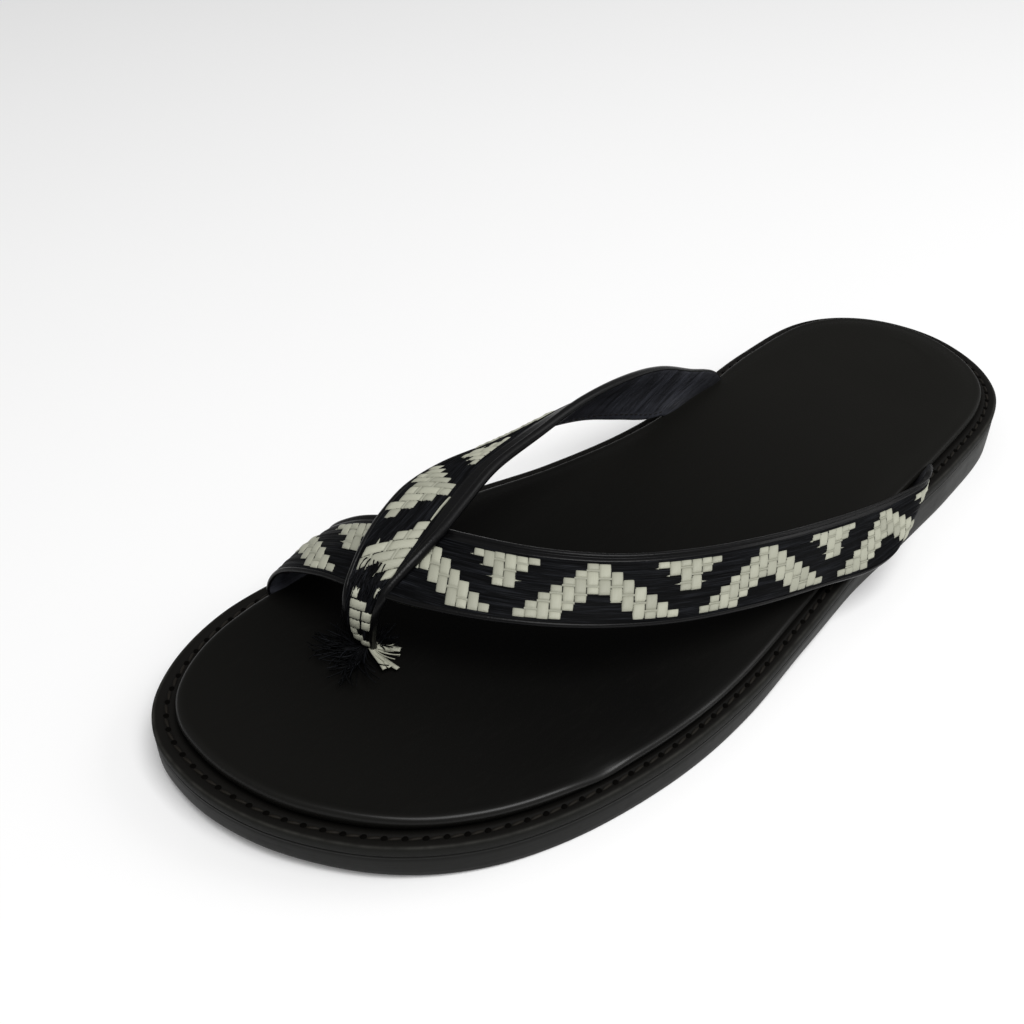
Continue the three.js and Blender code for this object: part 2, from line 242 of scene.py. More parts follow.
# Tufts at the post's foot: strips, fan in degrees, reach, width and lift in millimetres, curl
PALE_TUFTS = [
    (3, (124, 136), (5.2, 6.8), 1.9, 0.5, 0.12),
    (3, (79, 91), (6.8, 9.0), 1.9, 0.4, 0.12),
    (8, (72, 140), (4.5, 8.0), 0.3, 0.9, 0.4),
]
DARK_TUFTS = [
    (130, (-80, 40), (4.0, 13.5), 0.3, 2.0, 0.9),
    (60, (135, 215), (2.0, 6.5), 0.4, 4.0, 0.9),
]
# Soft lamps, aimed at the middle of the sole
LAMPS = [
    {"name": "key_light", "place": (0.1, 0.55, 1.35), "size": 0.9, "power": 17.0},
    {"name": "side_light", "place": (-0.9, 0.5, 0.7), "size": 0.6, "power": 2.5},
]


class SoleSettings(bpy.types.PropertyGroup):
    """Sizes of outsole, welt and footbed."""

    fore_top: FloatProperty(
        name="Welt height, ball", description="Top of the welt under the ball of the foot",
        default=9.2 * MM, unit="LENGTH", precision=4)
    heel_top: FloatProperty(
        name="Welt height, heel", description="Top of the welt at the heel",
        default=13.2 * MM, unit="LENGTH", precision=4)
    toe_spring: FloatProperty(
        name="Toe spring", description="Rise of the sole at the toe tip",
        default=2.2 * MM, unit="LENGTH", precision=4)
    welt_thickness: FloatProperty(
        name="Welt thickness", description="Thickness of the stitched welt",
        default=2.6 * MM, unit="LENGTH", precision=4)
    rim_width: FloatProperty(
        name="Rim width", description="Welt that shows around the footbed",
        default=5.6 * MM, unit="LENGTH", precision=4)
    footbed_height: FloatProperty(
        name="Footbed height", description="Height of the padded footbed over the welt",
        default=3.7 * MM, unit="LENGTH", precision=4)
    stitch_pitch: FloatProperty(
        name="Stitch pitch", description="Distance from one welt stitch to the next",
        default=4.3 * MM, unit="LENGTH", precision=4)


class StrapSettings(bpy.types.PropertyGroup):
    """Sizes of the straps and their weave."""

    thickness: FloatProperty(
        name="Strap thickness", description="Leather wall under the raffia",
        default=2.2 * MM, unit="LENGTH", precision=4)
    camber: FloatProperty(
        name="Camber", description="Rise of the strap's middle over its edges",
        default=0.9 * MM, unit="LENGTH", precision=4)
    lateral_rear_roll: FloatProperty(
        name="Lateral rear roll", description="Radius of the rolled rear edge, lateral strap",
        default=0.8 * MM, unit="LENGTH", precision=4)
    lateral_front_roll: FloatProperty(
        name="Lateral front roll", description="Radius of the rolled front edge, lateral strap",
        default=0.65 * MM, unit="LENGTH", precision=4)
    medial_rear_roll: FloatProperty(
        name="Medial rear roll", description="Radius of the rolled rear edge, medial strap",
        default=1.15 * MM, unit="LENGTH", precision=4)
    medial_front_roll: FloatProperty(
        name="Medial front roll", description="Radius of the rolled front edge, medial strap",
        default=0.7 * MM, unit="LENGTH", precision=4)
    strip_dome: FloatProperty(
        name="Strip dome", description="Rise of one woven strip over the ground weave",
        default=0.4 * MM, unit="LENGTH", precision=5)
    weave_seed: IntProperty(
        name="Seed", description="Seed of the small irregularities in the raffia", default=7)


class FinishSettings(bpy.types.PropertyGroup):
    """Colours of the sandal."""

    footbed: FloatVectorProperty(
        name="Footbed leather", description="Colour of the padded footbed", subtype="COLOR",
        default=(0.0030, 0.0029, 0.0025))
    welt: FloatVectorProperty(
        name="Welt leather", description="Colour of the stitched welt", subtype="COLOR",
        default=(0.0027, 0.0024, 0.0019))
    rubber: FloatVectorProperty(
        name="Sole rubber", description="Colour of the moulded outsole", subtype="COLOR",
        default=(0.0044, 0.0045, 0.0039))
    strap: FloatVectorProperty(
        name="Strap leather", description="Colour of the rolled strap edges", subtype="COLOR",
        default=(0.0022, 0.0022, 0.0024))
    lining: FloatVectorProperty(
        name="Strap lining", description="Colour of the leather under the straps", subtype="COLOR",
        default=(0.0150, 0.0158, 0.0200))
    cream: FloatVectorProperty(
        name="Cream raffia", description="Colour of the pale strips", subtype="COLOR",
        default=(0.405, 0.408, 0.325))
    black: FloatVectorProperty(
        name="Black raffia", description="Colour of the dark strips", subtype="COLOR",
        default=(0.0028, 0.0030, 0.0036))
    thread: FloatVectorProperty(
        name="Thread", description="Colour of the sewing thread", subtype="COLOR",
        default=(0.0080, 0.0068, 0.0052))


class StageSettings(bpy.types.PropertyGroup):
    """Camera, floor and light."""

    camera_place: FloatVectorProperty(
        name="Camera", description="Place of the camera", subtype="TRANSLATION", unit="LENGTH",
        default=(0.2001, 0.1578, 0.2231))
    camera_aim: FloatVectorProperty(
        name="Aim", description="Point in the middle of the picture", subtype="TRANSLATION",
        unit="LENGTH", default=(0.02355, -0.03006, 0.012))
    lens: FloatProperty(name="Lens", description="Focal length in millimetres", default=43.88)
    floor_tone: FloatProperty(
        name="Floor tone", description="Grey value of the pale floor", default=0.9)
    sky_strength: FloatProperty(
        name="Room light", description="Strength of the even light all around", default=0.3)


def rail(points, closed=False):
    """Smooth curve through the points; its parameter runs from 0 to 1 in equal steps per row."""
    knots = np.array(points, float)
    if closed:
        around = np.vstack([knots[-1], knots, knots[0], knots[1]])
        spans = len(knots)
    else:
        around = np.vstack([2 * knots[0] - knots[1], knots, 2 * knots[-1] - knots[-2]])
        spans = len(knots) - 1
    gaps = np.linalg.norm(np.diff(around, axis=0), axis=1) ** 0.5

    def at(t):
        place = np.clip(np.asarray(t, float), 0, 1) * spans
        span = np.minimum(place.astype(int), spans - 1)
        u = (place - span)[..., None]
        p0, p1, p2, p3 = (around[span + i] for i in range(4))
        d0, d1, d2 = (gaps[span + i][..., None] for i in range(3))
        m1 = ((p1 - p0) / d0 - (p2 - p0) / (d0 + d1) + (p2 - p1) / d1) * d1
        m2 = ((p2 - p1) / d1 - (p3 - p1) / (d1 + d2) + (p3 - p2) / d2) * d1
        start = (2 * u**3 - 3 * u**2 + 1) * p1 + (u**3 - 2 * u**2 + u) * m1
        return start + (3 * u**2 - 2 * u**3) * p2 + (u**3 - u**2) * m2

    return at


def ease(low, high, value):
    """Smooth step from 0 at low to 1 at high."""
    share = np.clip((np.asarray(value, float) - low) / (high - low), 0, 1)
    return share * share * (3 - 2 * share)


def bump(value, middle, width):
    """Bell of height 1 around middle."""
    return np.exp(-(((np.asarray(value, float) - middle) / width) ** 2))


class Sole:
    """Plan outline and heights of the sole."""

    # Stretches of the length, as shares from the heel
    SPRING_START = 0.76
    HEEL_RAMP = (0.26, 0.62)
    WAIST_START = (0.29, 0.42)
    WAIST_END = (0.48, 0.66)
    HEEL_FRONT = (0.2985, 0.3015)
    HEEL_FADE = (0.24, 0.31)
    TOE_LIFT = (0.88, 0.99)
    # Rises of the underside
    HEEL_STEP = 3.2 * MM
    ARCH_RISE = 1.4 * MM
    TOE_RISE = 0.9 * MM

    def __init__(self, sizes):
        self.sizes = sizes
        points = [(0.0, HEEL_TIP_SIDE)]
        points += [(row["at"], row["lateral"]) for row in SOLE_ROWS]
        points += [(1.0, TOE_TIP_SIDE)]
        points += [(row["at"], row["medial"]) for row in reversed(SOLE_ROWS)]
        plan = [((at - 0.5) * SOLE_LENGTH, side * MM) for at, side in points]
        t = np.arange(OUTLINE_SAMPLES) / OUTLINE_SAMPLES
        curve = rail(plan, closed=True)
        self.edge = curve(t)
        self.edge -= (self.edge.min(axis=0) + self.edge.max(axis=0)) / 2
        step = np.roll(self.edge, -1, axis=0) - np.roll(self.edge, 1, axis=0)
        step /= np.linalg.norm(step, axis=1, keepdims=True)
        self.inward = np.stack([step[:, 1], -step[:, 0]], axis=1)

    def share(self, x):
        return np.asarray(x, float) / SOLE_LENGTH + 0.5

    def spring(self, x):
        past = (self.share(x) - self.SPRING_START) / (1 - self.SPRING_START)
        return self.sizes.toe_spring * np.maximum(0, past) ** 2

    def welt_top(self, x):
        lift = self.sizes.heel_top - self.sizes.fore_top
        raised = lift * (1 - ease(*self.HEEL_RAMP, self.share(x)))
        return self.sizes.fore_top + raised + self.spring(x)

    def welt_bottom(self, x):
        return self.welt_top(x) - self.sizes.welt_thickness

    def waist(self, x):
        at = self.share(x)
        return ease(*self.WAIST_START, at) * (1 - ease(*self.WAIST_END, at))

    def floor_line(self, x):
        """Underside of the outsole: a faint step at the heel, the arch and the lifted toe."""
        at = self.share(x)
        before_heel = ease(*self.HEEL_FRONT, at)
        heel_rise = self.HEEL_STEP * (1 - ease(*self.HEEL_FADE, at)) * before_heel
        toe_rise = self.TOE_RISE * ease(*self.TOE_LIFT, at)
        arch = self.ARCH_RISE * self.waist(x) * before_heel
        return self.spring(x) + arch + heel_rise + toe_rise

    def rim(self, x, y):
        """Width of the welt that shows, narrower on the lateral side of the ball."""
        places = np.array([-135, -80, -10, 41, 70, 100, 135]) * MM
        lateral = np.interp(x, places, [0.86, 0.86, 0.74, 0.67, 0.69, 0.82, 0.9])
        medial = np.interp(x, places, [0.75, 0.62, 0.68, 0.78, 0.9, 1.12, 1.0])
        turn = ease(-16 * MM, 16 * MM, y)
        return self.sizes.rim_width * (lateral * turn + medial * (1 - turn))

    def bead(self, x):
        """Height of the footbed's edge over the welt, full at the toe."""
        places = np.array([-135, -20, 35, 60, 95, 118, 135]) * MM
        shares = [0.62, 0.56, 0.58, 0.66, 0.84, 1.0, 0.96]
        return self.sizes.footbed_height * np.interp(x, places, shares)

    def ring(self, inset, height):
        """Closed row of points around the sole, moved inward and set at a height."""
        depth = inset(*self.edge.T) if callable(inset) else np.full(len(self.edge), inset)
        plan = self.edge + self.inward * depth[:, None]
        z = height(plan[:, 0])
        points = np.column_stack([plan, z])
        return np.vstack([points, points[:1]])

    def across(self, ring, columns, height):
        """Sheet that closes a ring from its lateral to its medial side."""
        half = (len(ring) - 1) // 2
        lateral = ring[: half + 1]
        medial = ring[::-1][: half + 1]
        share = np.linspace(0, 1, columns)[None, :, None]
        sheet = lateral[:, None] * (1 - share) + medial[:, None] * share
        sheet[..., 2] = height(sheet[..., 0], sheet[..., 1], sheet[..., 2])
        return sheet


class Strap:
    """One strap as a run of places between its rear and front edge."""

    def __init__(self, rows, columns, row_sizes, woven, outward, camber, rolls, anchor, tilt):
        self.woven = woven
        self.outward = outward
        self.camber = camber
        self.rear_roll, self.front_roll = rolls
        self.anchor = anchor
        self.tilt = tilt
        self.columns = np.array(columns) * (1, MM, MM)
        self.row_sizes = np.array(row_sizes) * (MM, 1, 1)
        t = np.linspace(0, 1, STRAP_SAMPLES)
        rear = rail([np.array(row["rear"]) * MM for row in rows])(t)
        front = rail([np.array(row["front"]) * MM for row in rows])(t)
        middle = (rear + front) / 2
        along = np.gradient(middle, axis=0)
        normal = np.cross(along, front - rear) * outward
        kernel = np.ones(NORMAL_BLUR) / NORMAL_BLUR
        padded = np.pad(normal, ((NORMAL_BLUR // 2,) * 2, (0, 0)), mode="edge")
        normal = np.stack([np.convolve(padded[:, i], kernel, "valid") for i in range(3)], axis=1)
        self.normal = normal / np.linalg.norm(normal, axis=1, keepdims=True)
        self.rear = rear
        self.across = front - rear
        self.run = np.r_[0, np.cumsum(np.linalg.norm(np.diff(middle, axis=0), axis=1))]
        self.length = self.run[-1]
        heading = along / np.linalg.norm(along, axis=1, keepdims=True)
        self.lead = np.sum(self.across * heading, axis=1)
        self.creases = []
        self.front_limit = 1.0
        self.span = (0.0, self.length)
        self.pinch = NO_PINCH
        self.lines = np.linspace(0, 1, STRAP_LANES)
        crown = camber * 4 * self.lines * (1 - self.lines)
        lanes = rear + self.across * self.lines[:, None, None] + self.normal * crown[:, None, None]
        steps = np.linalg.norm(np.diff(lanes, axis=1), axis=2)
        self.lanes = np.hstack([np.zeros((STRAP_LANES, 1)), np.cumsum(steps, axis=1)])

    def look_up(self, table, s):
        return np.stack([np.interp(s, self.run, table[:, i]) for i in range(3)], axis=-1)

    def width(self, s):
        return np.linalg.norm(self.look_up(self.across, s), axis=-1)

    def rolls(self, s):
        """Radius of the rolled rear and front edge, smaller where the strap narrows."""
        width = self.width(s)
        return np.minimum(self.rear_roll, 0.1 * width), np.minimum(self.front_roll, 0.08 * width)

    def facing(self, s):
        """Shares across the strap between which its woven face lies."""
        rear, front = self.rolls(s)
        width = self.width(s)
        first = np.interp(s, self.row_sizes[:, 0], self.row_sizes[:, 1])
        last = np.minimum(1 - 1.6 * front / width, self.front_limit)
        return np.maximum(1.75 * rear / width, first - 0.03), last

    def weave(self, column, row):
        """Place along the strap and share across it of a point in the weave."""
        column, row = np.broadcast_arrays(np.asarray(column, float), np.asarray(row, float))
        start, lean = (np.interp(column, self.columns[:, 0], self.columns[:, i]) for i in (1, 2))
        first, height = (np.interp(start, self.row_sizes[:, 0], self.row_sizes[:, i]) for i in (1, 2))
        k = np.minimum(first + height * row, self.facing(start)[1])
        return start + lean * (k - first), k

    def station(self, w, k):
        """Station of the weave at length w and share k: a strip that doesn't stretch."""
        w, k = np.broadcast_arrays(np.asarray(w, float), np.asarray(k, float))
        slope = self.tilt - np.interp(self.anchor, self.run, self.lead)
        stations = []
        for line, lane in zip(self.lines, self.lanes):
            start = np.interp(self.anchor + (line - 0.5) * slope, self.run, lane)
            stations.append(np.interp(start + w - self.anchor, lane, self.run))
        stations = np.array(stations)
        place = np.clip(k, 0, 1) * (STRAP_LANES - 1)
        low = np.minimum(place.astype(int), STRAP_LANES - 2)
        first = np.take_along_axis(stations, low[None], axis=0)[0]
        second = np.take_along_axis(stations, low[None] + 1, axis=0)[0]
        return first + (second - first) * (place - low)

    def place(self, s, k, lift):
        """Place at s along the strap, share k across it and lift over its face."""
        s, k, lift = np.broadcast_arrays(*(np.asarray(v, float) for v in (s, k, lift)))
        rise = self.camber * 4 * k * (1 - k) + lift
        for at, reach, side, spread, depth in self.creases:
            rise = rise - depth * bump(s, at + (k - 0.5) * side, reach) * bump(k, 0.5, spread)
        ground = self.look_up(self.rear, s) + self.look_up(self.across, s) * k[..., None]
        return ground + self.look_up(self.normal, s) * rise[..., None]


def faces_of(verts):
    """Faces around the vertices, each once and in order."""
    return list(dict.fromkeys(face for vert in verts for face in vert.link_faces))


def ring_values(values, count):
    """One value for each ring, repeated around it."""
    return np.repeat(np.array(values, float)[:, None], count, axis=1)


def weave_marks(along, across):
    """Flat coordinates along and across a strap, for the materials that follow it."""
    along, across = np.broadcast_arrays(along, across)
    return np.stack([along, across, np.zeros_like(along)], axis=-1)


def add_grid(bm, places, material=0, layers=(), flip=False):
    """Quads over a (rows, columns, 3) array of places; layers hold further values per vertex."""
    rows, columns = places.shape[:2]
    made = bmesh.ops.create_grid(bm, x_segments=columns - 1, y_segments=rows - 1, size=1.0)["verts"]
    for vert in made:
        column = round((vert.co.x + 1) / 2 * (columns - 1))
        row = round((vert.co.y + 1) / 2 * (rows - 1))
        vert.co = places[row, column]
        for layer, values in layers:
            vert[layer] = values[row, column]
    faces = faces_of(made)
    for face in faces:
        face.material_index = material
        face.smooth = True
    if flip:
        bmesh.ops.reverse_faces(bm, faces=faces)
    return faces


def finish_piece(bm, name, materials, merge=MERGE, closed=True):
    """Turns a bmesh into an object that rides on the sandal."""
    if merge:
        bmesh.ops.remove_doubles(bm, verts=bm.verts, dist=merge)
    if closed:
        bmesh.ops.recalc_face_normals(bm, faces=bm.faces)
    mesh = bpy.data.meshes.new(name)
    bm.to_mesh(mesh)
    bm.free()
    for material in materials:
        mesh.materials.append(material)
    piece = bpy.data.objects.new(name, mesh)
    bpy.context.collection.objects.link(piece)
    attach(piece, "root")
    return piece


class Value:
    """A shader socket that takes part in Python sums."""

    def __init__(self, shader, socket):
        self.shader = shader
        self.socket = socket

    def math(self, operation, first, second):
        return self.shader.node("ShaderNodeMath", {"operation": operation}, {0: first, 1: second})

    def __add__(self, other):
        return self.math("ADD", self, other)

    def __sub__(self, other):
        return self.math("SUBTRACT", self, other)

    def __rsub__(self, other):
        return self.math("SUBTRACT", other, self)

    def __mul__(self, other):
        return self.math("MULTIPLY", self, other)

    def __truediv__(self, other):
        return self.math("DIVIDE", self, other)

    def __rtruediv__(self, other):
        return self.math("DIVIDE", other, self)

    __radd__ = __add__
    __rmul__ = __mul__


class Shader:
    """A material under construction."""

    def __init__(self, name):
        self.material = bpy.data.materials.new(name)
        self.material.use_nodes = True
        self.tree = self.material.node_tree
        self.surface = self.tree.nodes["Principled BSDF"]

    def node(self, kind, settings=None, inputs=None, output=0):
        """Adds a node, sets it up, feeds its sockets and gives back one of its outputs."""
        made = self.tree.nodes.new(kind)
        for key, value in (settings or {}).items():
            if key == "stops":
                self.set_stops(made.color_ramp, value)
            else:
                setattr(made, key, value)
        for key, value in (inputs or {}).items():
            self.plug(made.inputs[key], value)
        return Value(self, made.outputs[output])

    def plug(self, socket, value):
        """Links a value to a socket, or sets the socket to a plain number or colour."""
        if isinstance(value, Value):
            self.tree.links.new(value.socket, socket)
        else:
            socket.default_value = value

    def set_stops(self, ramp, stops):
        while len(ramp.elements) < len(stops):
            ramp.elements.new(0.5)
        for element, (place, tone) in zip(ramp.elements, stops):
            element.position = place
            element.color = (tone, tone, tone, 1)

    def place(self):
        return self.node("ShaderNodeTexCoord", output="Object")

    def stored(self, name, output="Fac"):
        return self.node("ShaderNodeAttribute", {"attribute_name": name}, output=output)

    def along_weave(self):
        return self.stored("weave", "Vector")

    def x_of(self, vector):
        return self.node("ShaderNodeSeparateXYZ", {}, {"Vector": vector})

    def stretched(self, vector, scale):
        return self.node("ShaderNodeMapping", {}, {"Vector": vector, "Scale": scale})

    def noise(self, vector, scale, detail=3.0, rough=0.55):
        wanted = {"Vector": vector, "Scale": scale, "Detail": detail, "Roughness": rough}
        return self.node("ShaderNodeTexNoise", {}, wanted)

    def cells(self, vector, scale):
        wanted = {"Vector": vector, "Scale": scale}
        return self.node("ShaderNodeTexVoronoi", {"feature": "SMOOTH_F1"}, wanted)

    def ramp(self, value, stops):
        return self.node("ShaderNodeValToRGB", {"stops": stops}, {"Fac": value})

    def mix(self, share, first, second):
        full = [value if isinstance(value, Value) else (*value, 1) for value in (first, second)]
        wanted = {"Factor": share, 6: full[0], 7: full[1]}
        return self.node("ShaderNodeMix", {"data_type": "RGBA"}, wanted, output=2)

    def tint(self, colour, share, span, *layers):
        """Tone between two strengths of a colour, with further strengths laid over it."""
        tone = self.mix(share, *(scaled(colour, strength) for strength in span))
        for weight, strength in layers:
            tone = self.mix(weight, tone, scaled(colour, strength))
        return tone

    def feed(self, name, value):
        self.plug(self.surface.inputs[name], value)

    def finish(self, tone, roughness, specular, relief=None):
        """Feeds the surface; relief is a height, its strength and its distance."""
        self.feed("Base Color", tone)
        self.feed("Roughness", roughness)
        self.feed("Specular IOR Level", specular)
        if relief:
            wanted = dict(zip(("Height", "Strength", "Distance"), relief))
            self.feed("Normal", self.node("ShaderNodeBump", {}, wanted))
        return self.material


def scaled(colour, factor):
    """Colour made lighter or darker by a factor."""
    return tuple(min(1.0, part * factor) for part in colour)


def footbed_leather(colour):
    """Soft matt black leather with fine grain, scuffs and a polished bead, with painted light that is
    brighter at the heel and toe than at the ball, and a painted highlight on the bead.
    """
    shader = Shader("footbed_leather")
    place = shader.place()
    grain = shader.cells(place, 1500.0)
    pores = shader.noise(place, 2600.0, 2.0)
    cloud = shader.noise(place, 38.0, 4.0)
    streak = shader.noise(shader.stretched(place, (60, 240, 60)), 3.0, 5.0)
    scuff = shader.ramp(streak, [(0.52, 0), (0.74, 1)])
    bead = shader.stored("bead")
    along = shader.x_of(place) / SOLE_LENGTH + 0.5
    # Painted light along the length: lighter at the heel and toe than at the ball.
    fade = [(0.0, 1.0), (0.25, 0.85), (0.5, 0.4), (0.68, 0.05), (0.8, 0.2), (1.0, 0.6)]
    glow = [(0.0, 0.08), (0.5, 0.06), (0.64, 0.7), (0.78, 0.6), (0.9, 0.3), (1.0, 0.25)]
    # The bead's share lightens its colour as a painted highlight.
    tone = shader.tint(
        colour, shader.ramp(along, fade), (0.3, 3.2),
        (cloud * 0.3, 1.2), (scuff * 0.16, 2.4), (bead * 0.4, 2.6))
    shader.feed("Coat Weight", bead * shader.ramp(along, glow))
    shader.feed("Coat Roughness", 0.3)
    relief = (grain * 0.7 + pores * 0.5 + cloud * 0.4, 0.3, 0.15 * MM)
    return shader.finish(tone, 0.6 + cloud * 0.1 - bead * 0.2, 0.06, relief)


def welt_leather(colour, flank):
    """Brown-black leather, rough on top and worn pale along its outer edge, with painted shade in the
    stitch channel, under the footbed's edge and at the seam with the outsole.
    """
    shader = Shader("welt_leather")
    place = shader.place()
    fibre = shader.noise(place, 900.0, 4.0, 0.7)
    patch = shader.noise(place, 120.0, 3.0)
    worn = shader.ramp(shader.noise(place, 260.0, 4.0), [(0.3, 0.25), (0.62, 1)])
    lightened = shader.stored("wear") * worn
    tone = shader.tint(colour, patch, (0.75, 1.5), (fibre * 0.5, 2.0))
    tone = shader.mix(shader.stored("side") * 0.95, tone, scaled(flank, 1.9))
    tone = shader.mix(lightened * 0.7, tone, WORN_EDGE)
    # Painted shade in the stitch channel, under the footbed's edge and at the seam with the outsole.
    tone = shader.mix(shader.stored("groove") * 0.5, tone, scaled(colour, 0.35))
    relief = (fibre + patch * 0.6, 0.45, 0.22 * MM)
    return shader.finish(tone, 0.62 + fibre * 0.15 - lightened * 0.1, 0.12, relief)


def sole_rubber(colour):
    """Black moulded rubber with a satin side and faint layer lines, and painted light that makes it
    lighter towards the heel.
    """
    shader = Shader("sole_rubber")
    place = shader.place()
    cloud = shader.noise(place, 60.0, 4.0)
    dust = shader.ramp(shader.noise(place, 420.0, 5.0, 0.7), [(0.5, 0), (0.8, 1)])
    streak = shader.noise(shader.stretched(place, (70, 70, 900)), 1.0, 3.0)
    along = shader.x_of(place) / SOLE_LENGTH + 0.5
    # Painted light: the rubber is lighter towards the heel.
    lightened = shader.ramp(along, [(0.1, 1.0), (0.4, 0.6), (0.75, 0.0)])
    tone = shader.tint(
        colour, cloud, (0.85, 1.4),
        (lightened, 3.0), (dust * 0.22, 4.0), (streak * 0.25, 1.9), (shader.stored("layer") * 0.6, 0.3))
    relief = (streak + cloud * 0.5, 0.25, 0.2 * MM)
    return shader.finish(tone, 0.46 + cloud * 0.14 + dust * 0.1, 0.15, relief)


def strap_leather(colour):
    """Black leather rolled over the strap edges, with a soft gloss."""
    shader = Shader("strap_leather")
    place = shader.place()
    grain = shader.cells(place, 1900.0)
    crease = shader.noise(shader.stretched(shader.along_weave(), (900, 160, 1)), 1.0, 4.0)
    cloud = shader.noise(place, 90.0, 3.0)
    tone = shader.tint(colour, cloud, (0.8, 1.6))
    relief = (grain * 0.6 + crease, 0.3, 0.18 * MM)
    return shader.finish(tone, 0.26 + cloud * 0.12, 0.17, relief)


def lining_leather(colour):
    """Thin lining with fine creases across the strap, painted as light and dark streaks, a paler hem
    and painted shade at its heel end.
    """
    shader = Shader("lining_leather")
    along = shader.along_weave()
    # Painted light and shade along the creases: the crease lines lighter, the leather between them
    # darker.
    crease = shader.noise(shader.stretched(along, (420, 60, 1)), 1.0, 5.0, 0.65)
    crease = shader.ramp(crease, [(0.4, 0), (0.64, 1)])
    cloud = shader.noise(shader.place(), 160.0, 4.0)
    # Painted shade on the lining's heel end, where the strap goes down into the sole.
    pocket_shade = shader.ramp(shader.x_of(along) / LINING_END, [(0.4, 1), (0.9, 0)])
    tone = shader.tint(
        colour, crease, (0.4, 3.2),
        (cloud * 0.4, 1.8), (shader.stored("hem") * 0.8, 4.0), (pocket_shade * 0.75, 0.35))
    relief = (crease + cloud * 0.4, 0.5, 0.25 * MM)
    return shader.finish(tone, 0.44 + cloud * 0.15, 0.4, relief)


def black_raffia(colour):
    """Dark raffia in long fibres that follow the strap, with pale streaks that are partly the fibres'
    own tone and partly painted sheen.
    """
    shader = Shader("black_raffia")
    along = shader.along_weave()
    fibre = shader.noise(shader.stretched(along, (120, 5200, 1)), 1.0, 4.0, 0.6)
    broad = shader.noise(shader.stretched(along, (45, 900, 1)), 1.0, 3.0)
    # Pale fibre streaks: partly the fibres' own paler tone, partly painted sheen along them.
    pale = shader.ramp(fibre * 0.6 + broad * 0.4, [(0.5, 0), (0.68, 1)])
    tone = shader.tint(colour, broad, (0.2, 1.1), (pale * 0.9, 8.0))
    return shader.finish(tone, 0.46 + broad * 0.16, 0.05, (fibre + broad, 0.55, 0.2 * MM))


def cream_raffia(colour):
    """Pale raffia strips, each a little different, with fibres along the strip and painted shade
    where each strip sinks at its ends and corners.
    """
    shader = Shader("cream_raffia")
    fibre = shader.noise(shader.stretched(shader.along_weave(), (3600, 260, 1)), 1.0, 3.0, 0.6)
    tone = shader.tint(
        colour, shader.stored("shade"), (0.86, 1.2),
        (fibre * 0.5, 0.7), (shader.stored("dip") * 0.8, 0.3))
    return shader.finish(tone, 0.5 + fibre * 0.15, 0.4, (fibre, 0.35, 0.12 * MM))


def sewing_thread(colour):
    """Waxed thread with a fine twist."""
    shader = Shader("sewing_thread")
    twist = shader.noise(shader.place(), 3200.0, 2.0)
    tone = shader.tint(colour, twist, (0.6, 2.2))
    return shader.finish(tone, 0.6 + twist * 0.1, 0.12, (twist, 0.4, 0.1 * MM))


def stitch_dent_shade(colour):
    """Painted shade of the dent that the thread pulls into the welt, laid on it as a dark drop."""
    shader = Shader("stitch_dent_shade")
    cloud = shader.noise(shader.place(), 900.0, 2.0)
    return shader.finish(shader.tint(colour, cloud, (0.1, 0.3)), 0.8, 0.03)


def floor_finish(tone):
    """Pale seamless studio floor."""
    shader = Shader("studio_floor")
    cloud = shader.noise(shader.place(), 4.0, 2.0)
    shader.feed("Base Color", shader.mix(cloud, (tone,) * 3, (tone * 1.02,) * 3))
    shader.feed("Roughness", 0.75)
    shader.feed("Emission Color", (1, 1, 1, 1))
    shader.feed("Emission Strength", 0.09)
    return shader.material


def settings(context):
    """Sizes of sole and straps, finishes and stage, in this order."""
    scene = context.scene
    return scene.sandal_sole, scene.sandal_strap, scene.sandal_finish, scene.sandal_stage


def make_straps(strap):
    """Both straps, with the creases that the empty sandal shows."""
    lateral = Strap(
        LATERAL_ROWS, LATERAL_COLUMNS, LATERAL_ROW_SIZES, woven=range(-3, 75), outward=1,
        camber=strap.camber, rolls=(strap.lateral_rear_roll, strap.lateral_front_roll),
        anchor=100 * MM, tilt=5.5 * MM)
    medial = Strap(
        MEDIAL_ROWS, MEDIAL_COLUMNS, MEDIAL_ROW_SIZES, woven=range(-32, 19), outward=-1,
        camber=strap.camber, rolls=(strap.medial_rear_roll, strap.medial_front_roll),
        anchor=125 * MM, tilt=0.0)
    medial.span = (0.0, medial.length - 6 * MM)
    medial.pinch = 146.5 * MM
    medial.front_limit = 0.93
    # Place along, reach, slant, spread across and depth of each crease
    medial.creases = [
        (143 * MM, 2.0 * MM, 5 * MM, 0.30, 0.8 * MM),
        (148 * MM, 1.6 * MM, -4 * MM, 0.25, 0.7 * MM),
    ]
    return lateral, medial


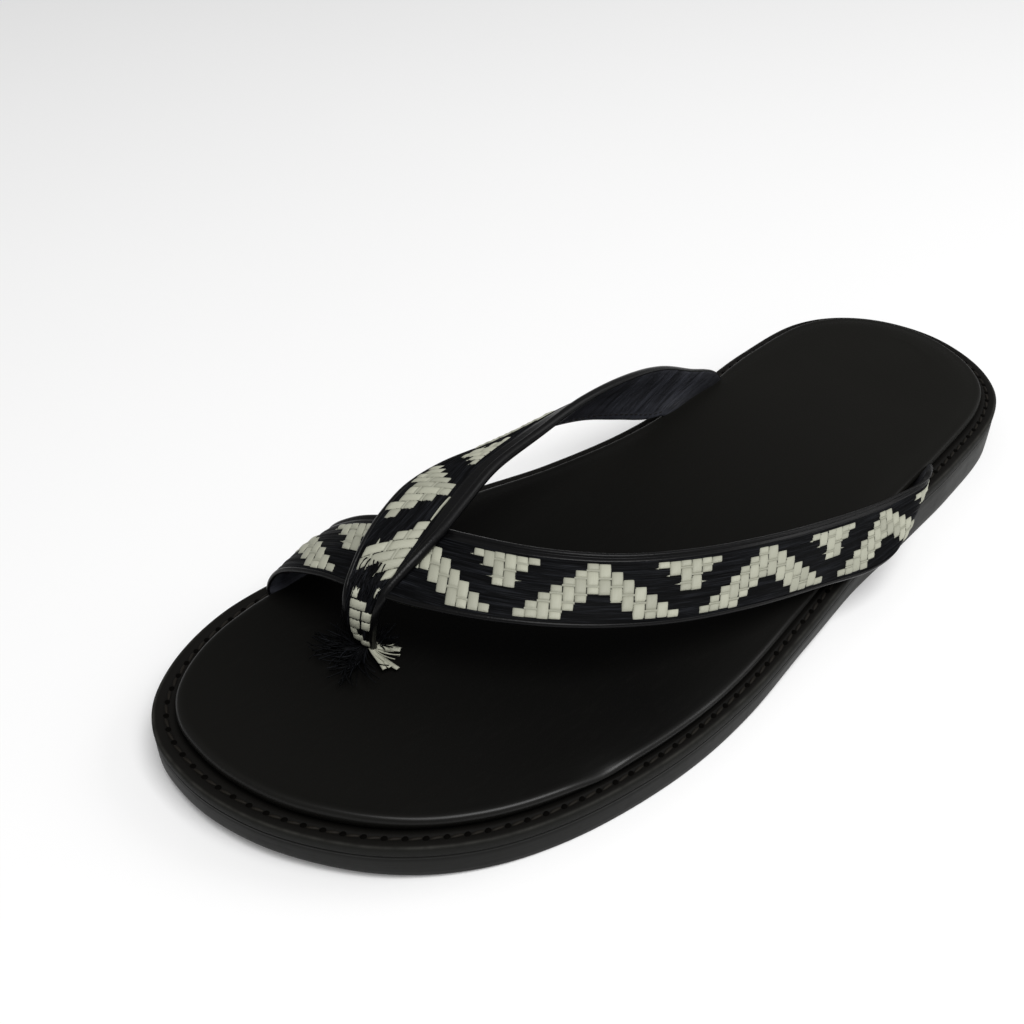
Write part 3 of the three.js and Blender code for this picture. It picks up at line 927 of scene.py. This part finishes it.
class SANDAL_OT_outsole(bpy.types.Operator):
    """Moulded outsole with a low heel, bevelled waist and toe spring"""

    bl_idname = "sandal.outsole"
    bl_label = "Outsole"

    def execute(self, context):
        sizes, _, finish, _ = settings(context)
        sole = Sole(sizes)

        def top(x):
            return sole.welt_bottom(x) - 0.06 * MM

        def above(height):
            return lambda x: sole.floor_line(x) + height * MM

        def level(share):
            return lambda x: sole.floor_line(x) * (1 - share) + top(x) * share

        def below(depth):
            return lambda x: top(x) - depth * MM

        def tuck(depth, waist):
            return lambda x, y: depth * MM + waist * MM * sole.waist(x)

        # Inset, further inset at the waist, height and darkness of the layer line
        steps = [
            (3.0, 0.7, above(0.0), 0),
            (0.5, 0.7, above(0.0), 0),
            (0.24, 0.7, above(0.1), 0),
            (0.1, 0.65, above(0.35), 0),
            (0.06, 0.5, level(0.25), 0),
            (0.05, 0.3, level(0.5), 0),
            (0.08, 0.1, level(0.72), 0),
            (0.12, 0.0, below(1.0), 0),
            (0.2, 0.0, below(0.8), 0.3),
            (0.16, 0.0, below(0.6), 0),
            (0.12, 0.0, below(0.2), 0),
            (0.35, 0.0, below(0.0), 1),
            (6.0, 0.0, below(0.0), 1),
        ]
        rings = np.array([sole.ring(tuck(depth, waist), height) for depth, waist, height, _ in steps])
        bm = bmesh.new()
        layer = bm.verts.layers.float.new("layer")
        dark = ring_values([row[3] for row in steps], rings.shape[1])
        add_grid(bm, rings, 0, [(layer, dark)])
        add_grid(bm, sole.across(rings[0], 24, lambda x, y, z: sole.floor_line(x)))
        add_grid(bm, sole.across(rings[-1], 12, lambda x, y, z: top(x)))
        piece = finish_piece(bm, "outsole_body", [sole_rubber(finish.rubber)])
        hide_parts("outsole")
        return {"FINISHED"}


class SANDAL_OT_welt(bpy.types.Operator):
    """Stitched welt with a worn outer edge and its thread"""

    bl_idname = "sandal.welt"
    bl_label = "Welt"

    def execute(self, context):
        sizes, _, finish, _ = settings(context)
        sole = Sole(sizes)

        def above(height):
            return lambda x: sole.welt_bottom(x) + height * MM

        def below(depth):
            return lambda x: sole.welt_top(x) - depth * MM

        def inside(share, more):
            return lambda x, y: share * sole.rim(x, y) + more * MM

        # Inset, height, wear, painted shade in the stitch channel, under the footbed's edge and at
        # the seam with the outsole, and share of the side's colour
        steps = [
            (8.0 * MM, above(0.0), 0, 0, 1),
            (1.0 * MM, above(0.0), 0, 0, 1),
            (0.2 * MM, above(0.03), 0, 0.3, 1),
            (0.1 * MM, above(0.3), 0, 0, 1),
            (0.05 * MM, above(1.1), 0, 0, 1),
            (0.05 * MM, below(0.85), 0, 0, 1),
            (0.12 * MM, below(0.45), 0.1, 0, 1),
            (0.3 * MM, below(0.2), 0.45, 0, 0.9),
            (0.55 * MM, below(0.07), 1.0, 0, 0.5),
            (0.8 * MM, below(0.02), 0.5, 0, 0),
            (1.1 * MM, below(0.0), 0.0, 0, 0),
            (inside(WELT_SEAM_SHARE, -0.1), below(0.0), 0, 0, 0),
            (inside(WELT_SEAM_SHARE, 0.2), below(0.14), 0, 0.4, 0),
            (inside(WELT_SEAM_SHARE, 0.75), below(0.24), 0, 0.6, 0),
            (inside(WELT_SEAM_SHARE, 1.3), below(0.14), 0, 0.4, 0),
            (inside(WELT_SEAM_SHARE, 1.5), below(0.02), 0, 0, 0),
            (inside(1, -0.3), below(0.1), 0, 0.1, 0),
            (inside(1, 0.3), below(0.45), 0, 1, 0),
            (inside(1, 3), below(0.45), 0, 1, 0),
        ]
        rings = np.array([sole.ring(inset, height) for inset, height, *_ in steps])
        bm = bmesh.new()
        wear = bm.verts.layers.float.new("wear")
        groove = bm.verts.layers.float.new("groove")
        side = bm.verts.layers.float.new("side")
        count = rings.shape[1]
        worn, shade_steps, flank = (ring_values([row[i] for row in steps], count) for i in (2, 3, 4))
        add_grid(bm, rings, 0, [(wear, worn), (groove, shade_steps), (side, flank)])
        add_grid(bm, sole.across(rings[0], 12, lambda x, y, z: sole.welt_bottom(x)))
        add_grid(bm, sole.across(rings[-1], 12, lambda x, y, z: sole.welt_top(x) - 0.45 * MM))
        piece = finish_piece(bm, "welt_sheet", [welt_leather(finish.welt, finish.rubber)])
        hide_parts("welt")
        self.stitch(sole, finish)
        return {"FINISHED"}

    def stitch(self, sole, finish):
        """Slanting stitches, in turn with dark drops that paint the shade of the dents they pull into
        the welt.
        """
        ring = sole.ring(
            lambda x, y: WELT_SEAM_SHARE * sole.rim(x, y) + WELT_SEAM_MIDDLE,
            lambda x: sole.welt_top(x) - WELT_SEAM_DEPTH)
        run = np.r_[0, np.cumsum(np.linalg.norm(np.diff(ring, axis=0), axis=1))]
        count = round(run[-1] / sole.sizes.stitch_pitch)
        bm = bmesh.new()
        for i in range(2 * count):
            middle = run[-1] * (i + 0.5) / count / 2
            centre, ahead = (np.array([np.interp(s, run, ring[:, j]) for j in range(3)])
                             for s in (middle, middle + 0.5 * MM))
            along = (ahead - centre) / np.linalg.norm(ahead - centre)
            side = np.array([-along[1], along[0], 0])
            # Every second drop is a dark one that paints the shade of the stitch's dent.
            drop = WELT_DENT_SHADE if i % 2 else WELT_THREAD
            self.drop(bm, centre, along, side, *drop, i % 2)
        materials = [sewing_thread(finish.thread), stitch_dent_shade(finish.thread)]
        finish_piece(bm, "welt_stitches", materials, merge=0)

    def drop(self, bm, centre, along, side, size, slant, material):
        """One flattened drop, slanted along the seam and bent down at its ends."""
        made = bmesh.ops.create_uvsphere(bm, u_segments=8, v_segments=5, radius=1.0)["verts"]
        for vert in made:
            x, y, z = vert.co.z, vert.co.x, vert.co.y
            spot = centre + along * (x * size[0] * MM) + side * ((y * size[1] + x * slant) * MM)
            vert.co = spot + np.array([0, 0, (z * size[2] - 0.02 - 0.12 * x * x) * MM])
        for face in faces_of(made):
            face.smooth = True
            face.material_index = material


class SANDAL_OT_footbed(bpy.types.Operator):
    """Padded footbed with a rounded bead around its edge"""

    bl_idname = "sandal.footbed"
    bl_label = "Footbed"

    def execute(self, context):
        sizes, _, finish, _ = settings(context)
        sole = Sole(sizes)
        flat = 0.86 * sizes.footbed_height

        def inside(more):
            return lambda x, y: sole.rim(x, y) + more * MM

        def edge(share):
            return lambda x: sole.welt_top(x) + share * sole.bead(x)

        def slope(share):
            return lambda x: sole.welt_top(x) + 0.98 * sole.bead(x) * (1 - share) + flat * share

        def under(x):
            return sole.welt_top(x) - 0.2 * MM

        # Inset, height and polish of the bead; the polish also lightens the bead's colour as a
        # painted highlight
        steps = [
            (inside(2.0), under, 0),
            (inside(0.55), under, 0),
            (inside(0.35), edge(0.1), 0),
            (inside(0.1), edge(0.32), 0.1),
            (inside(0.0), edge(0.5), 0.4),
            (inside(0.08), edge(0.66), 0.8),
            (inside(0.3), edge(0.82), 1.0),
            (inside(0.65), edge(0.94), 1.0),
            (inside(1.1), edge(1.0), 0.6),
            (inside(1.7), edge(1.0), 0.15),
            (inside(2.5), slope(0.2), 0),
            (inside(3.6), slope(0.45), 0),
            (inside(5.2), slope(0.75), 0),
            (inside(7.2), slope(0.93), 0),
            (inside(9.8), slope(1.0), 0),
        ]
        rings = np.array([sole.ring(inset, height) for inset, height, _ in steps])
        self.relax(rings)
        bm = bmesh.new()
        bead = bm.verts.layers.float.new("bead")
        shine = ring_values([row[2] for row in steps], rings.shape[1])
        add_grid(bm, rings, 0, [(bead, shine)])
        add_grid(bm, sole.across(rings[0], 12, lambda x, y, z: z))

        def surface(x, y, z):
            foot = 0.35 * bump(x, 40 * MM, 30 * MM) * bump(y, -8 * MM, 26 * MM)
            heel = 0.45 * bump(x, -95 * MM, 24 * MM) * bump(y, 0, 18 * MM)
            post = 0.5 * bump(np.hypot(x - POST_FOOT.x, y - POST_FOOT.y), 0, 4 * MM)
            span = np.hypot(x[:, -1:] - x[:, :1], y[:, -1:] - y[:, :1])
            share = np.linspace(0, 1, x.shape[1])[None, :]
            clear = ease(0, 9 * MM, span * np.minimum(share, 1 - share))
            return z - MM * (foot + heel + post) * clear

        add_grid(bm, sole.across(rings[-1], 90, surface))
        piece = finish_piece(bm, "footbed_pad", [footbed_leather(finish.footbed)])
        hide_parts("footbed")
        return {"FINISHED"}

    def relax(self, rings):
        """Small dents in the bead, as on a worn footbed, that fade out on the rings around it."""
        weight = np.array([0, 0, 0, 0.2, 0.5, 0.8, 1, 1, 1, 0.8, 0.5, 0.2, 0, 0, 0])[:, None]
        for x, y, reach, depth in BEAD_DENTS:
            near = bump(np.hypot(rings[..., 0] - x * MM, rings[..., 1] - y * MM), 0, reach * MM)
            rings[..., 2] -= depth * MM * near * weight


class SANDAL_OT_straps(bpy.types.Operator):
    """Leather straps with rolled edges, a lining and its stitches"""

    bl_idname = "sandal.straps"
    bl_label = "Straps"

    def execute(self, context):
        _, sizes, finish, _ = settings(context)
        bm = bmesh.new()
        weave = bm.verts.layers.float_vector.new("weave")
        hem = bm.verts.layers.float.new("hem")
        straps = make_straps(sizes)
        for strap in straps:
            self.wall(bm, strap, sizes, weave, hem)
        bmesh.ops.remove_doubles(bm, verts=bm.verts, dist=MERGE)
        bmesh.ops.holes_fill(bm, edges=[edge for edge in bm.edges if edge.is_boundary], sides=0)
        materials = [strap_leather(finish.strap), lining_leather(finish.lining)]
        piece = finish_piece(bm, "strap_leather", materials, merge=0)
        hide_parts("upper")
        self.stitch(straps, finish)
        return {"FINISHED"}

    def wall(self, bm, strap, sizes, weave, hem):
        """Rolled edges with the sunk bed between them above, and the lining below."""
        s = np.linspace(0, strap.length, WALL_ROWS)[:, None]
        width = strap.width(s)
        turn = np.radians(np.linspace(*ROLL_ARC, ROLL_STEPS))[None, :]
        rear, front = strap.rolls(s)
        near, far = (radius * (1 - np.cos(turn)) / width for radius in (rear, front))
        near_lift, far_lift = (radius * np.sin(turn) - ROLL_DEPTH for radius in (rear, front))
        first, last = strap.facing(s)
        bed_width = last - first - 2 * BED_MARGIN
        bed = first + BED_MARGIN + bed_width * np.linspace(0, 1, BED_COLUMNS)[None, :]
        bed_lift = np.full(bed.shape, -BED_DEPTH)
        band = near[:, -1:] + (first - near[:, -1:]) * np.array([[0.15, 0.6, 0.97]])
        band_lift = MM * np.array([[-0.3, -0.12, -0.16]]) + 0 * width
        k = np.hstack([near, band, bed, 1 - far[:, ::-1]])
        rise = np.hstack([near_lift, band_lift, bed_lift, far_lift[:, ::-1]])
        add_grid(bm, strap.place(s, k, rise), 0, [(weave, weave_marks(s, k * width))])
        share = np.linspace(0, 1, LINING_COLUMNS)[None, :]
        k = near[:, :1] * (1 - share) + (1 - far[:, :1]) * share
        low = near_lift[:, :1] * (1 - share) + far_lift[:, :1] * share
        blend = np.minimum(1, 6 * np.minimum(share, 1 - share))
        rise = low * (1 - blend) - sizes.thickness * blend
        values = [(weave, weave_marks(s, k * width)), (hem, ease(0.82, 0.9, k))]
        add_grid(bm, strap.place(s, k, rise), 1, values)

    def stitch(self, straps, finish):
        """A row of stitches along the front edge of each lining."""
        bm = bmesh.new()
        for strap in straps:
            count = int((strap.length - LINING_SEAM_SPARE) / LINING_SEAM_PITCH)
            for i in range(count):
                s = LINING_SEAM_START + i * LINING_SEAM_PITCH
                width = float(strap.width(s))
                for vert in bmesh.ops.create_icosphere(bm, subdivisions=1, radius=1.0)["verts"]:
                    x, y, z = vert.co
                    vert.co = strap.place(
                        s + x * 0.95 * MM, LINING_SEAM_SHARE + y * 0.2 * MM / width,
                        -LINING_SEAM_DEPTH + z * 0.16 * MM + 0.08 * MM * x * x)
        finish_piece(bm, "lining_stitches", [sewing_thread(finish.thread)], merge=0)


class SANDAL_OT_raffia(bpy.types.Operator):
    """Woven raffia faces: dark floats along the strap and pale strips across it"""

    bl_idname = "sandal.raffia"
    bl_label = "Raffia"

    def execute(self, context):
        _, sizes, finish, _ = settings(context)
        chance = np.random.RandomState(sizes.weave_seed)
        straps = make_straps(sizes)
        self.ground(straps, finish, chance)
        self.strips(straps, sizes, finish, chance)
        self.threads(straps[1], finish, chance)
        return {"FINISHED"}

    def threads(self, strap, finish, chance):
        """Dark fibres that gather the weave where the medial strap turns into the post."""
        bm = bmesh.new()
        weave = bm.verts.layers.float_vector.new("weave")
        for i in range(FOLD_THREADS):
            front = i < FRONT_THREADS
            k = 0.38 + 0.07 * i if front else chance.uniform(0.12, 0.9)
            start = (141.0 if front else chance.uniform(143.5, 147.0)) * MM
            length = chance.uniform(3.0, 5.5) * MM
            wide = chance.uniform(0.25, 0.45) * MM
            u = np.linspace(0, 1, 7)[:, None]
            v = np.linspace(-0.5, 0.5, 3)[None, :]
            w = start + length * u + 0 * v
            arc = np.sin(np.pi * u)
            drift = chance.uniform(-0.07, 0.07) * u + chance.uniform(-0.05, 0.05) * arc
            share = k + drift + v * wide * (1 - 0.5 * u) / strap.width(start)
            rise = chance.uniform(0.15, 0.4) * MM * arc ** 0.5 - 0.1 * MM * np.abs(v)
            rise = rise + (0.4 * MM * (1 - u) if front else 0.02 * MM)
            s = strap.station(w, np.clip(share, 0.05, 0.95))
            marks = weave_marks(w + i * MM, v * wide)
            faces = add_grid(bm, strap.place(s, share, rise), 0, [(weave, marks)])
            bmesh.ops.solidify(bm, geom=faces, thickness=0.12 * MM)
        finish_piece(bm, "raffia_threads", [black_raffia(finish.black)], merge=0)

    def ground(self, straps, finish, chance):
        """Long dark floats, one low rounded rib per woven row."""
        bm = bmesh.new()
        weave = bm.verts.layers.float_vector.new("weave")
        rows = np.linspace(0, WEAVE_ROWS, WEAVE_ROWS * RIB_STEPS + 1)[None, :]
        rib = np.abs(np.sin(np.pi * rows)) ** 0.5
        kernel = np.hanning(FIBRE_WINDOW)
        for strap in straps:
            s = np.linspace(*strap.span, FLOAT_ROWS)[:, None]
            rear, front = strap.facing(s)
            k = rear + (front - rear) * rows / WEAVE_ROWS
            rough = chance.normal(0, 1, (FLOAT_ROWS + FIBRE_WINDOW - 1, rows.size))
            fibre = np.stack([np.convolve(column, kernel, "valid") for column in rough.T], axis=1)
            fibre = np.clip(fibre / fibre.std(), -2, 2)
            crumple = bump(s, strap.pinch - 0.5 * MM, 3 * MM)
            rise = -0.2 * MM + 0.2 * MM * rib + (0.045 + 0.16 * crumple) * MM * fibre
            marks = weave_marks(s, k * strap.width(s))
            add_grid(bm, strap.place(s, k, rise), 0, [(weave, marks)], strap.outward > 0)
        materials = [black_raffia(finish.black)]
        piece = finish_piece(bm, "raffia_dark", materials, merge=0, closed=False)
        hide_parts("raffia_lateral", "raffia_front", "raffia_medial")

    def blocks(self, column):
        """Cuts each cream span of a column where the plain weave passes over it."""
        for low, high in WEAVE_CHART[column]:
            cuts = [row for row in range(low + 1, high) if (column + row) % 2 == 1]
            ends = [low, *cuts, high]
            for first, last in zip(ends, ends[1:]):
                yield first, last, first in cuts

    def strips(self, straps, sizes, finish, chance):
        """Pale strips that cross the dark floats as small domed blocks."""
        bm = bmesh.new()
        layers = {
            "weave": bm.verts.layers.float_vector.new("weave"),
            "shade": bm.verts.layers.float.new("shade"),
            "dip": bm.verts.layers.float.new("dip"),
        }
        repeat = len(WEAVE_CHART)
        for strap in straps:
            for i in strap.woven:
                for start, end, crossed in self.blocks(i % repeat):
                    w, k = strap.weave(i + 0.5, [start, end])
                    hidden = k[1] - k[0] < LEAST_STRIP or k[0] > LAST_STRIP
                    if hidden or w.mean() > strap.pinch:
                        continue
                    self.block(bm, layers, strap, sizes, i, (start, end), chance)
                    if crossed:
                        self.crossing(bm, layers, strap, i, start, chance)
                for column, row, length in WEAVE_SPIKES:
                    w, _ = strap.weave(i + 0.5, row)
                    if column == i % repeat and w < strap.pinch:
                        self.spike(bm, layers, strap, i, row, length)
        for start, end, rear, front in POST_STRIPS:
            self.patch(bm, layers, straps[1], sizes, (start * MM, end * MM), (rear, front), chance)
        materials = [cream_raffia(finish.cream)]
        finish_piece(bm, "raffia_pale", materials, merge=0, closed=False)

    def lay(self, bm, layers, strap, place, rise, shade, dip, offset=0.0):
        """Lays a small sheet on the strap at places along and shares across it."""
        w, k = np.broadcast_arrays(*place)
        s = strap.station(w, k)
        values = [
            (layers["weave"], weave_marks(w + offset, k * strap.width(s))),
            (layers["shade"], np.full(k.shape, shade)),
            (layers["dip"], np.broadcast_to(dip, k.shape)),
        ]
        add_grid(bm, strap.place(s, k, rise), 0, values, strap.outward > 0)

    def block(self, bm, layers, strap, sizes, column, ends, chance):
        """One domed strip between two crossings."""
        u, v, rise, dip = self.pillow(sizes, chance)
        shift = chance.uniform(-0.035, 0.035, 4)
        trim = 0.06
        row = ends[0] + trim + shift[2] + (ends[1] - ends[0] - 2 * trim + shift[3]) * v
        swell = 1 - 0.05 * np.abs(2 * v - 1) ** 2
        along = column + 0.5 + shift[0] + (u - 0.5) * (1.03 + shift[1]) * swell
        shade = chance.uniform(0.1, 1.0)
        place = strap.weave(along, row)
        self.lay(bm, layers, strap, place, rise, shade, dip, chance.uniform(0, 0.4))

    def patch(self, bm, layers, strap, sizes, along, across, chance):
        """One domed strip at a given place."""
        u, v, rise, dip = self.pillow(sizes, chance)
        place = (along[0] + (along[1] - along[0]) * u, across[0] + (across[1] - across[0]) * v)
        shade = chance.uniform(0.3, 1.0)
        self.lay(bm, layers, strap, place, rise, shade, dip, chance.uniform(0, 0.4))

    def pillow(self, sizes, chance):
        """Grid, height and shading of one domed strip."""
        steps = np.array([0, 0.04, 0.2, 0.5, 0.8, 0.96, 1])
        u = steps[:, None]
        v = steps[None, :]
        skirt = ((u > 0) & (u < 1) & (v > 0) & (v < 1)).astype(float)
        dome = (1 - np.abs(2 * u - 1) ** 2.4) * (1 - np.abs(2 * v - 1) ** 3)
        top = sizes.strip_dome * chance.uniform(0.85, 1.15)
        rise = -0.2 * MM + skirt * (0.2 * MM + top * dome)
        # Painted shade where the strip sinks at its edges, ends and corners.
        corner = np.abs(2 * u - 1) ** 6 * np.abs(2 * v - 1) ** 6
        dip = np.clip(0.12 * (1 - dome) + 0.9 * corner + 0.25 * (v == 0) + 0.25 * (v == 1), 0, 1)
        return u, v, rise, dip

    def crossing(self, bm, layers, strap, column, row, chance):
        """The thin strip that holds a pale strip down between two blocks."""
        u = np.linspace(-0.06, 1.06, 5)[:, None]
        v = np.array([-0.16, -0.1, 0.0, 0.1, 0.16])[None, :]
        arch = 0.1 * MM * (1 - (2 * u - 1) ** 2)
        rise = 0.1 * MM + arch - 0.3 * MM * (np.abs(v) > 0.12) + 0.03 * MM * (v == 0)
        row = row + v + chance.uniform(-0.03, 0.03)
        place = strap.weave(column + u, row)
        # Painted shade along the edges of the thin strip, where they sink.
        self.lay(bm, layers, strap, place, rise, 0.35, 0.22 + 0.3 * (np.abs(v) > 0.12))

    def spike(self, bm, layers, strap, column, row, length):
        """A thin pointed strip end that runs on along the strap."""
        u = np.linspace(0, 1, 5)[:, None]
        v = np.array([-1.0, 0.0, 1.0])[None, :]
        rise = 0.08 * MM * (1 - u) + 0.05 * MM - 0.25 * MM * np.abs(v)
        place = strap.weave(column + length * u, row + 0.13 * v * (1 - u))
        # A little painted shade over the whole spike.
        self.lay(bm, layers, strap, place, rise, 0.6, 0.15)


class SANDAL_OT_fray(bpy.types.Operator):
    """Loose raffia ends bunched at the foot of the toe post"""

    bl_idname = "sandal.fray"
    bl_label = "Frayed ends"

    def execute(self, context):
        _, sizes, finish, _ = settings(context)
        chance = np.random.RandomState(sizes.weave_seed + 4)
        pale = bmesh.new()
        for tuft in PALE_TUFTS:
            self.tuft(pale, chance, *tuft)
        dark = bmesh.new()
        for tuft in DARK_TUFTS:
            self.tuft(dark, chance, *tuft)
        first = finish_piece(pale, "fray_pale", [cream_raffia(finish.cream)], merge=0)
        finish_piece(dark, "fray_dark", [black_raffia(finish.black)], merge=0)
        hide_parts("fray")
        return {"FINISHED"}

    def tuft(self, bm, chance, count, fan, reach, width, lift, curl):
        """Flat tapering strips that leave the post low and spread out."""
        vectors, numbers = bm.verts.layers.float_vector, bm.verts.layers.float
        weave = vectors.get("weave") or vectors.new("weave")
        tone = numbers.get("shade") or numbers.new("shade")
        for i in range(count):
            share = (i + chance.uniform(0.1, 0.9)) / count
            heading = math.radians(fan[0] + (fan[1] - fan[0]) * share)
            length = chance.uniform(*reach) * MM
            wide = width * chance.uniform(0.7, 1.2) * MM
            rise = chance.uniform(0.2, 1.0) * lift * MM
            bend = chance.uniform(-curl, curl)
            u = np.linspace(0, 1, 9)[:, None]
            v = np.linspace(-0.5, 0.5, 3)[None, :]
            turn = heading + bend * u
            way = np.array([math.cos(heading), math.sin(heading)])
            forward = np.stack([np.cos(turn), np.sin(turn)], axis=-1)
            side = np.stack([-np.sin(turn), np.cos(turn)], axis=-1)
            start = np.array(POST_FOOT[:2]) + way * MM
            plan = start + forward * (length * u)[..., None]
            plan = plan + side * (wide * (1 - 0.4 * u) * v)[..., None]
            z = POST_FOOT.z + 0.5 * MM + chance.uniform(0, 0.8) * MM + rise * u * u
            z = z + 1.2 * MM * np.exp(-6 * u) - 0.15 * MM * np.abs(v * 2)
            z = np.broadcast_to(z, plan.shape[:2])
            places = np.concatenate([plan, z[..., None]], axis=-1)
            marks = weave_marks(u * length, v * wide + i * 7 * MM)
            shade = np.full(places.shape[:2], chance.uniform(0.2, 1.0))
            faces = add_grid(bm, places, 0, [(weave, marks), (tone, shade)])
            bmesh.ops.solidify(bm, geom=faces, thickness=0.14 * MM)
        for face in bm.faces:
            face.smooth = True


class SANDAL_OT_stage(bpy.types.Operator):
    """Pale floor, soft light and the camera"""

    bl_idname = "sandal.stage"
    bl_label = "Stage"

    def execute(self, context):
        stage = context.scene.sandal_stage
        bm = bmesh.new()
        bmesh.ops.create_grid(bm, x_segments=2, y_segments=2, size=4.0)
        mesh = bpy.data.meshes.new("studio_floor")
        bm.to_mesh(mesh)
        bm.free()
        mesh.materials.append(floor_finish(stage.floor_tone))
        floor = bpy.data.objects.new("studio_floor", mesh)
        context.collection.objects.link(floor)
        self.room(context.scene, stage)
        for lamp in LAMPS:
            self.softbox(context, **lamp)
        context.scene.view_settings.view_transform = "Standard"
        camera = bpy.data.cameras.new("camera")
        camera.lens = stage.lens
        camera.sensor_width = 36
        camera.clip_start = 0.01
        viewer = bpy.data.objects.new("camera", camera)
        viewer.location = stage.camera_place
        viewer.rotation_euler = self.turned(stage.camera_place, stage.camera_aim)
        context.collection.objects.link(viewer)
        context.scene.camera = viewer
        return {"FINISHED"}

    def room(self, scene, stage):
        world = scene.world or bpy.data.worlds.new("room")
        scene.world = world
        world.use_nodes = True
        background = world.node_tree.nodes["Background"]
        background.inputs["Color"].default_value = (1, 1, 1, 1)
        background.inputs["Strength"].default_value = stage.sky_strength

    def turned(self, place, aim):
        """Rotation of a camera or lamp that looks from its place to its aim."""
        return (Vector(aim) - Vector(place)).to_track_quat("-Z", "Y").to_euler()

    def softbox(self, context, name, place, size, power):
        light = bpy.data.lights.new(name, "AREA")
        light.shape = "SQUARE"
        light.size = size
        light.energy = power
        lamp = bpy.data.objects.new(name, light)
        lamp.location = place
        lamp.rotation_euler = self.turned(place, (0.0, 0.0, 0.0))
        context.collection.objects.link(lamp)


class SANDAL_PT_build(bpy.types.Panel):
    """Lists the steps that build the sandal"""

    bl_label = "Toe post sandal"
    bl_space_type = "VIEW_3D"
    bl_region_type = "UI"
    bl_category = "Sandal"

    def draw(self, context):
        for operator in OPERATORS:
            self.layout.operator(operator.bl_idname)
        for group in settings(context):
            box = self.layout.box()
            for name in group.bl_rna.properties.keys():
                if name not in {"rna_type", "name"}:
                    box.prop(group, name)


GROUPS = {
    "sandal_sole": SoleSettings,
    "sandal_strap": StrapSettings,
    "sandal_finish": FinishSettings,
    "sandal_stage": StageSettings,
}
OPERATORS = (
    SANDAL_OT_outsole,
    SANDAL_OT_welt,
    SANDAL_OT_footbed,
    SANDAL_OT_straps,
    SANDAL_OT_raffia,
    SANDAL_OT_fray,
    SANDAL_OT_stage,
)


def register():
    for group in GROUPS.values():
        bpy.utils.register_class(group)
    for name, group in GROUPS.items():
        setattr(bpy.types.Scene, name, PointerProperty(type=group))
    for cls in (*OPERATORS, SANDAL_PT_build):
        bpy.utils.register_class(cls)


def unregister():
    for cls in (SANDAL_PT_build, *reversed(OPERATORS)):
        bpy.utils.unregister_class(cls)
    for name, group in reversed(GROUPS.items()):
        delattr(bpy.types.Scene, name)
        bpy.utils.unregister_class(group)


def main():
    register()
    bpy.ops.sandal.outsole()
    bpy.ops.sandal.welt()
    bpy.ops.sandal.footbed()
    bpy.ops.sandal.straps()
    bpy.ops.sandal.raffia()
    bpy.ops.sandal.fray()
    bpy.ops.sandal.stage()


if __name__ == "__main__":
    main()
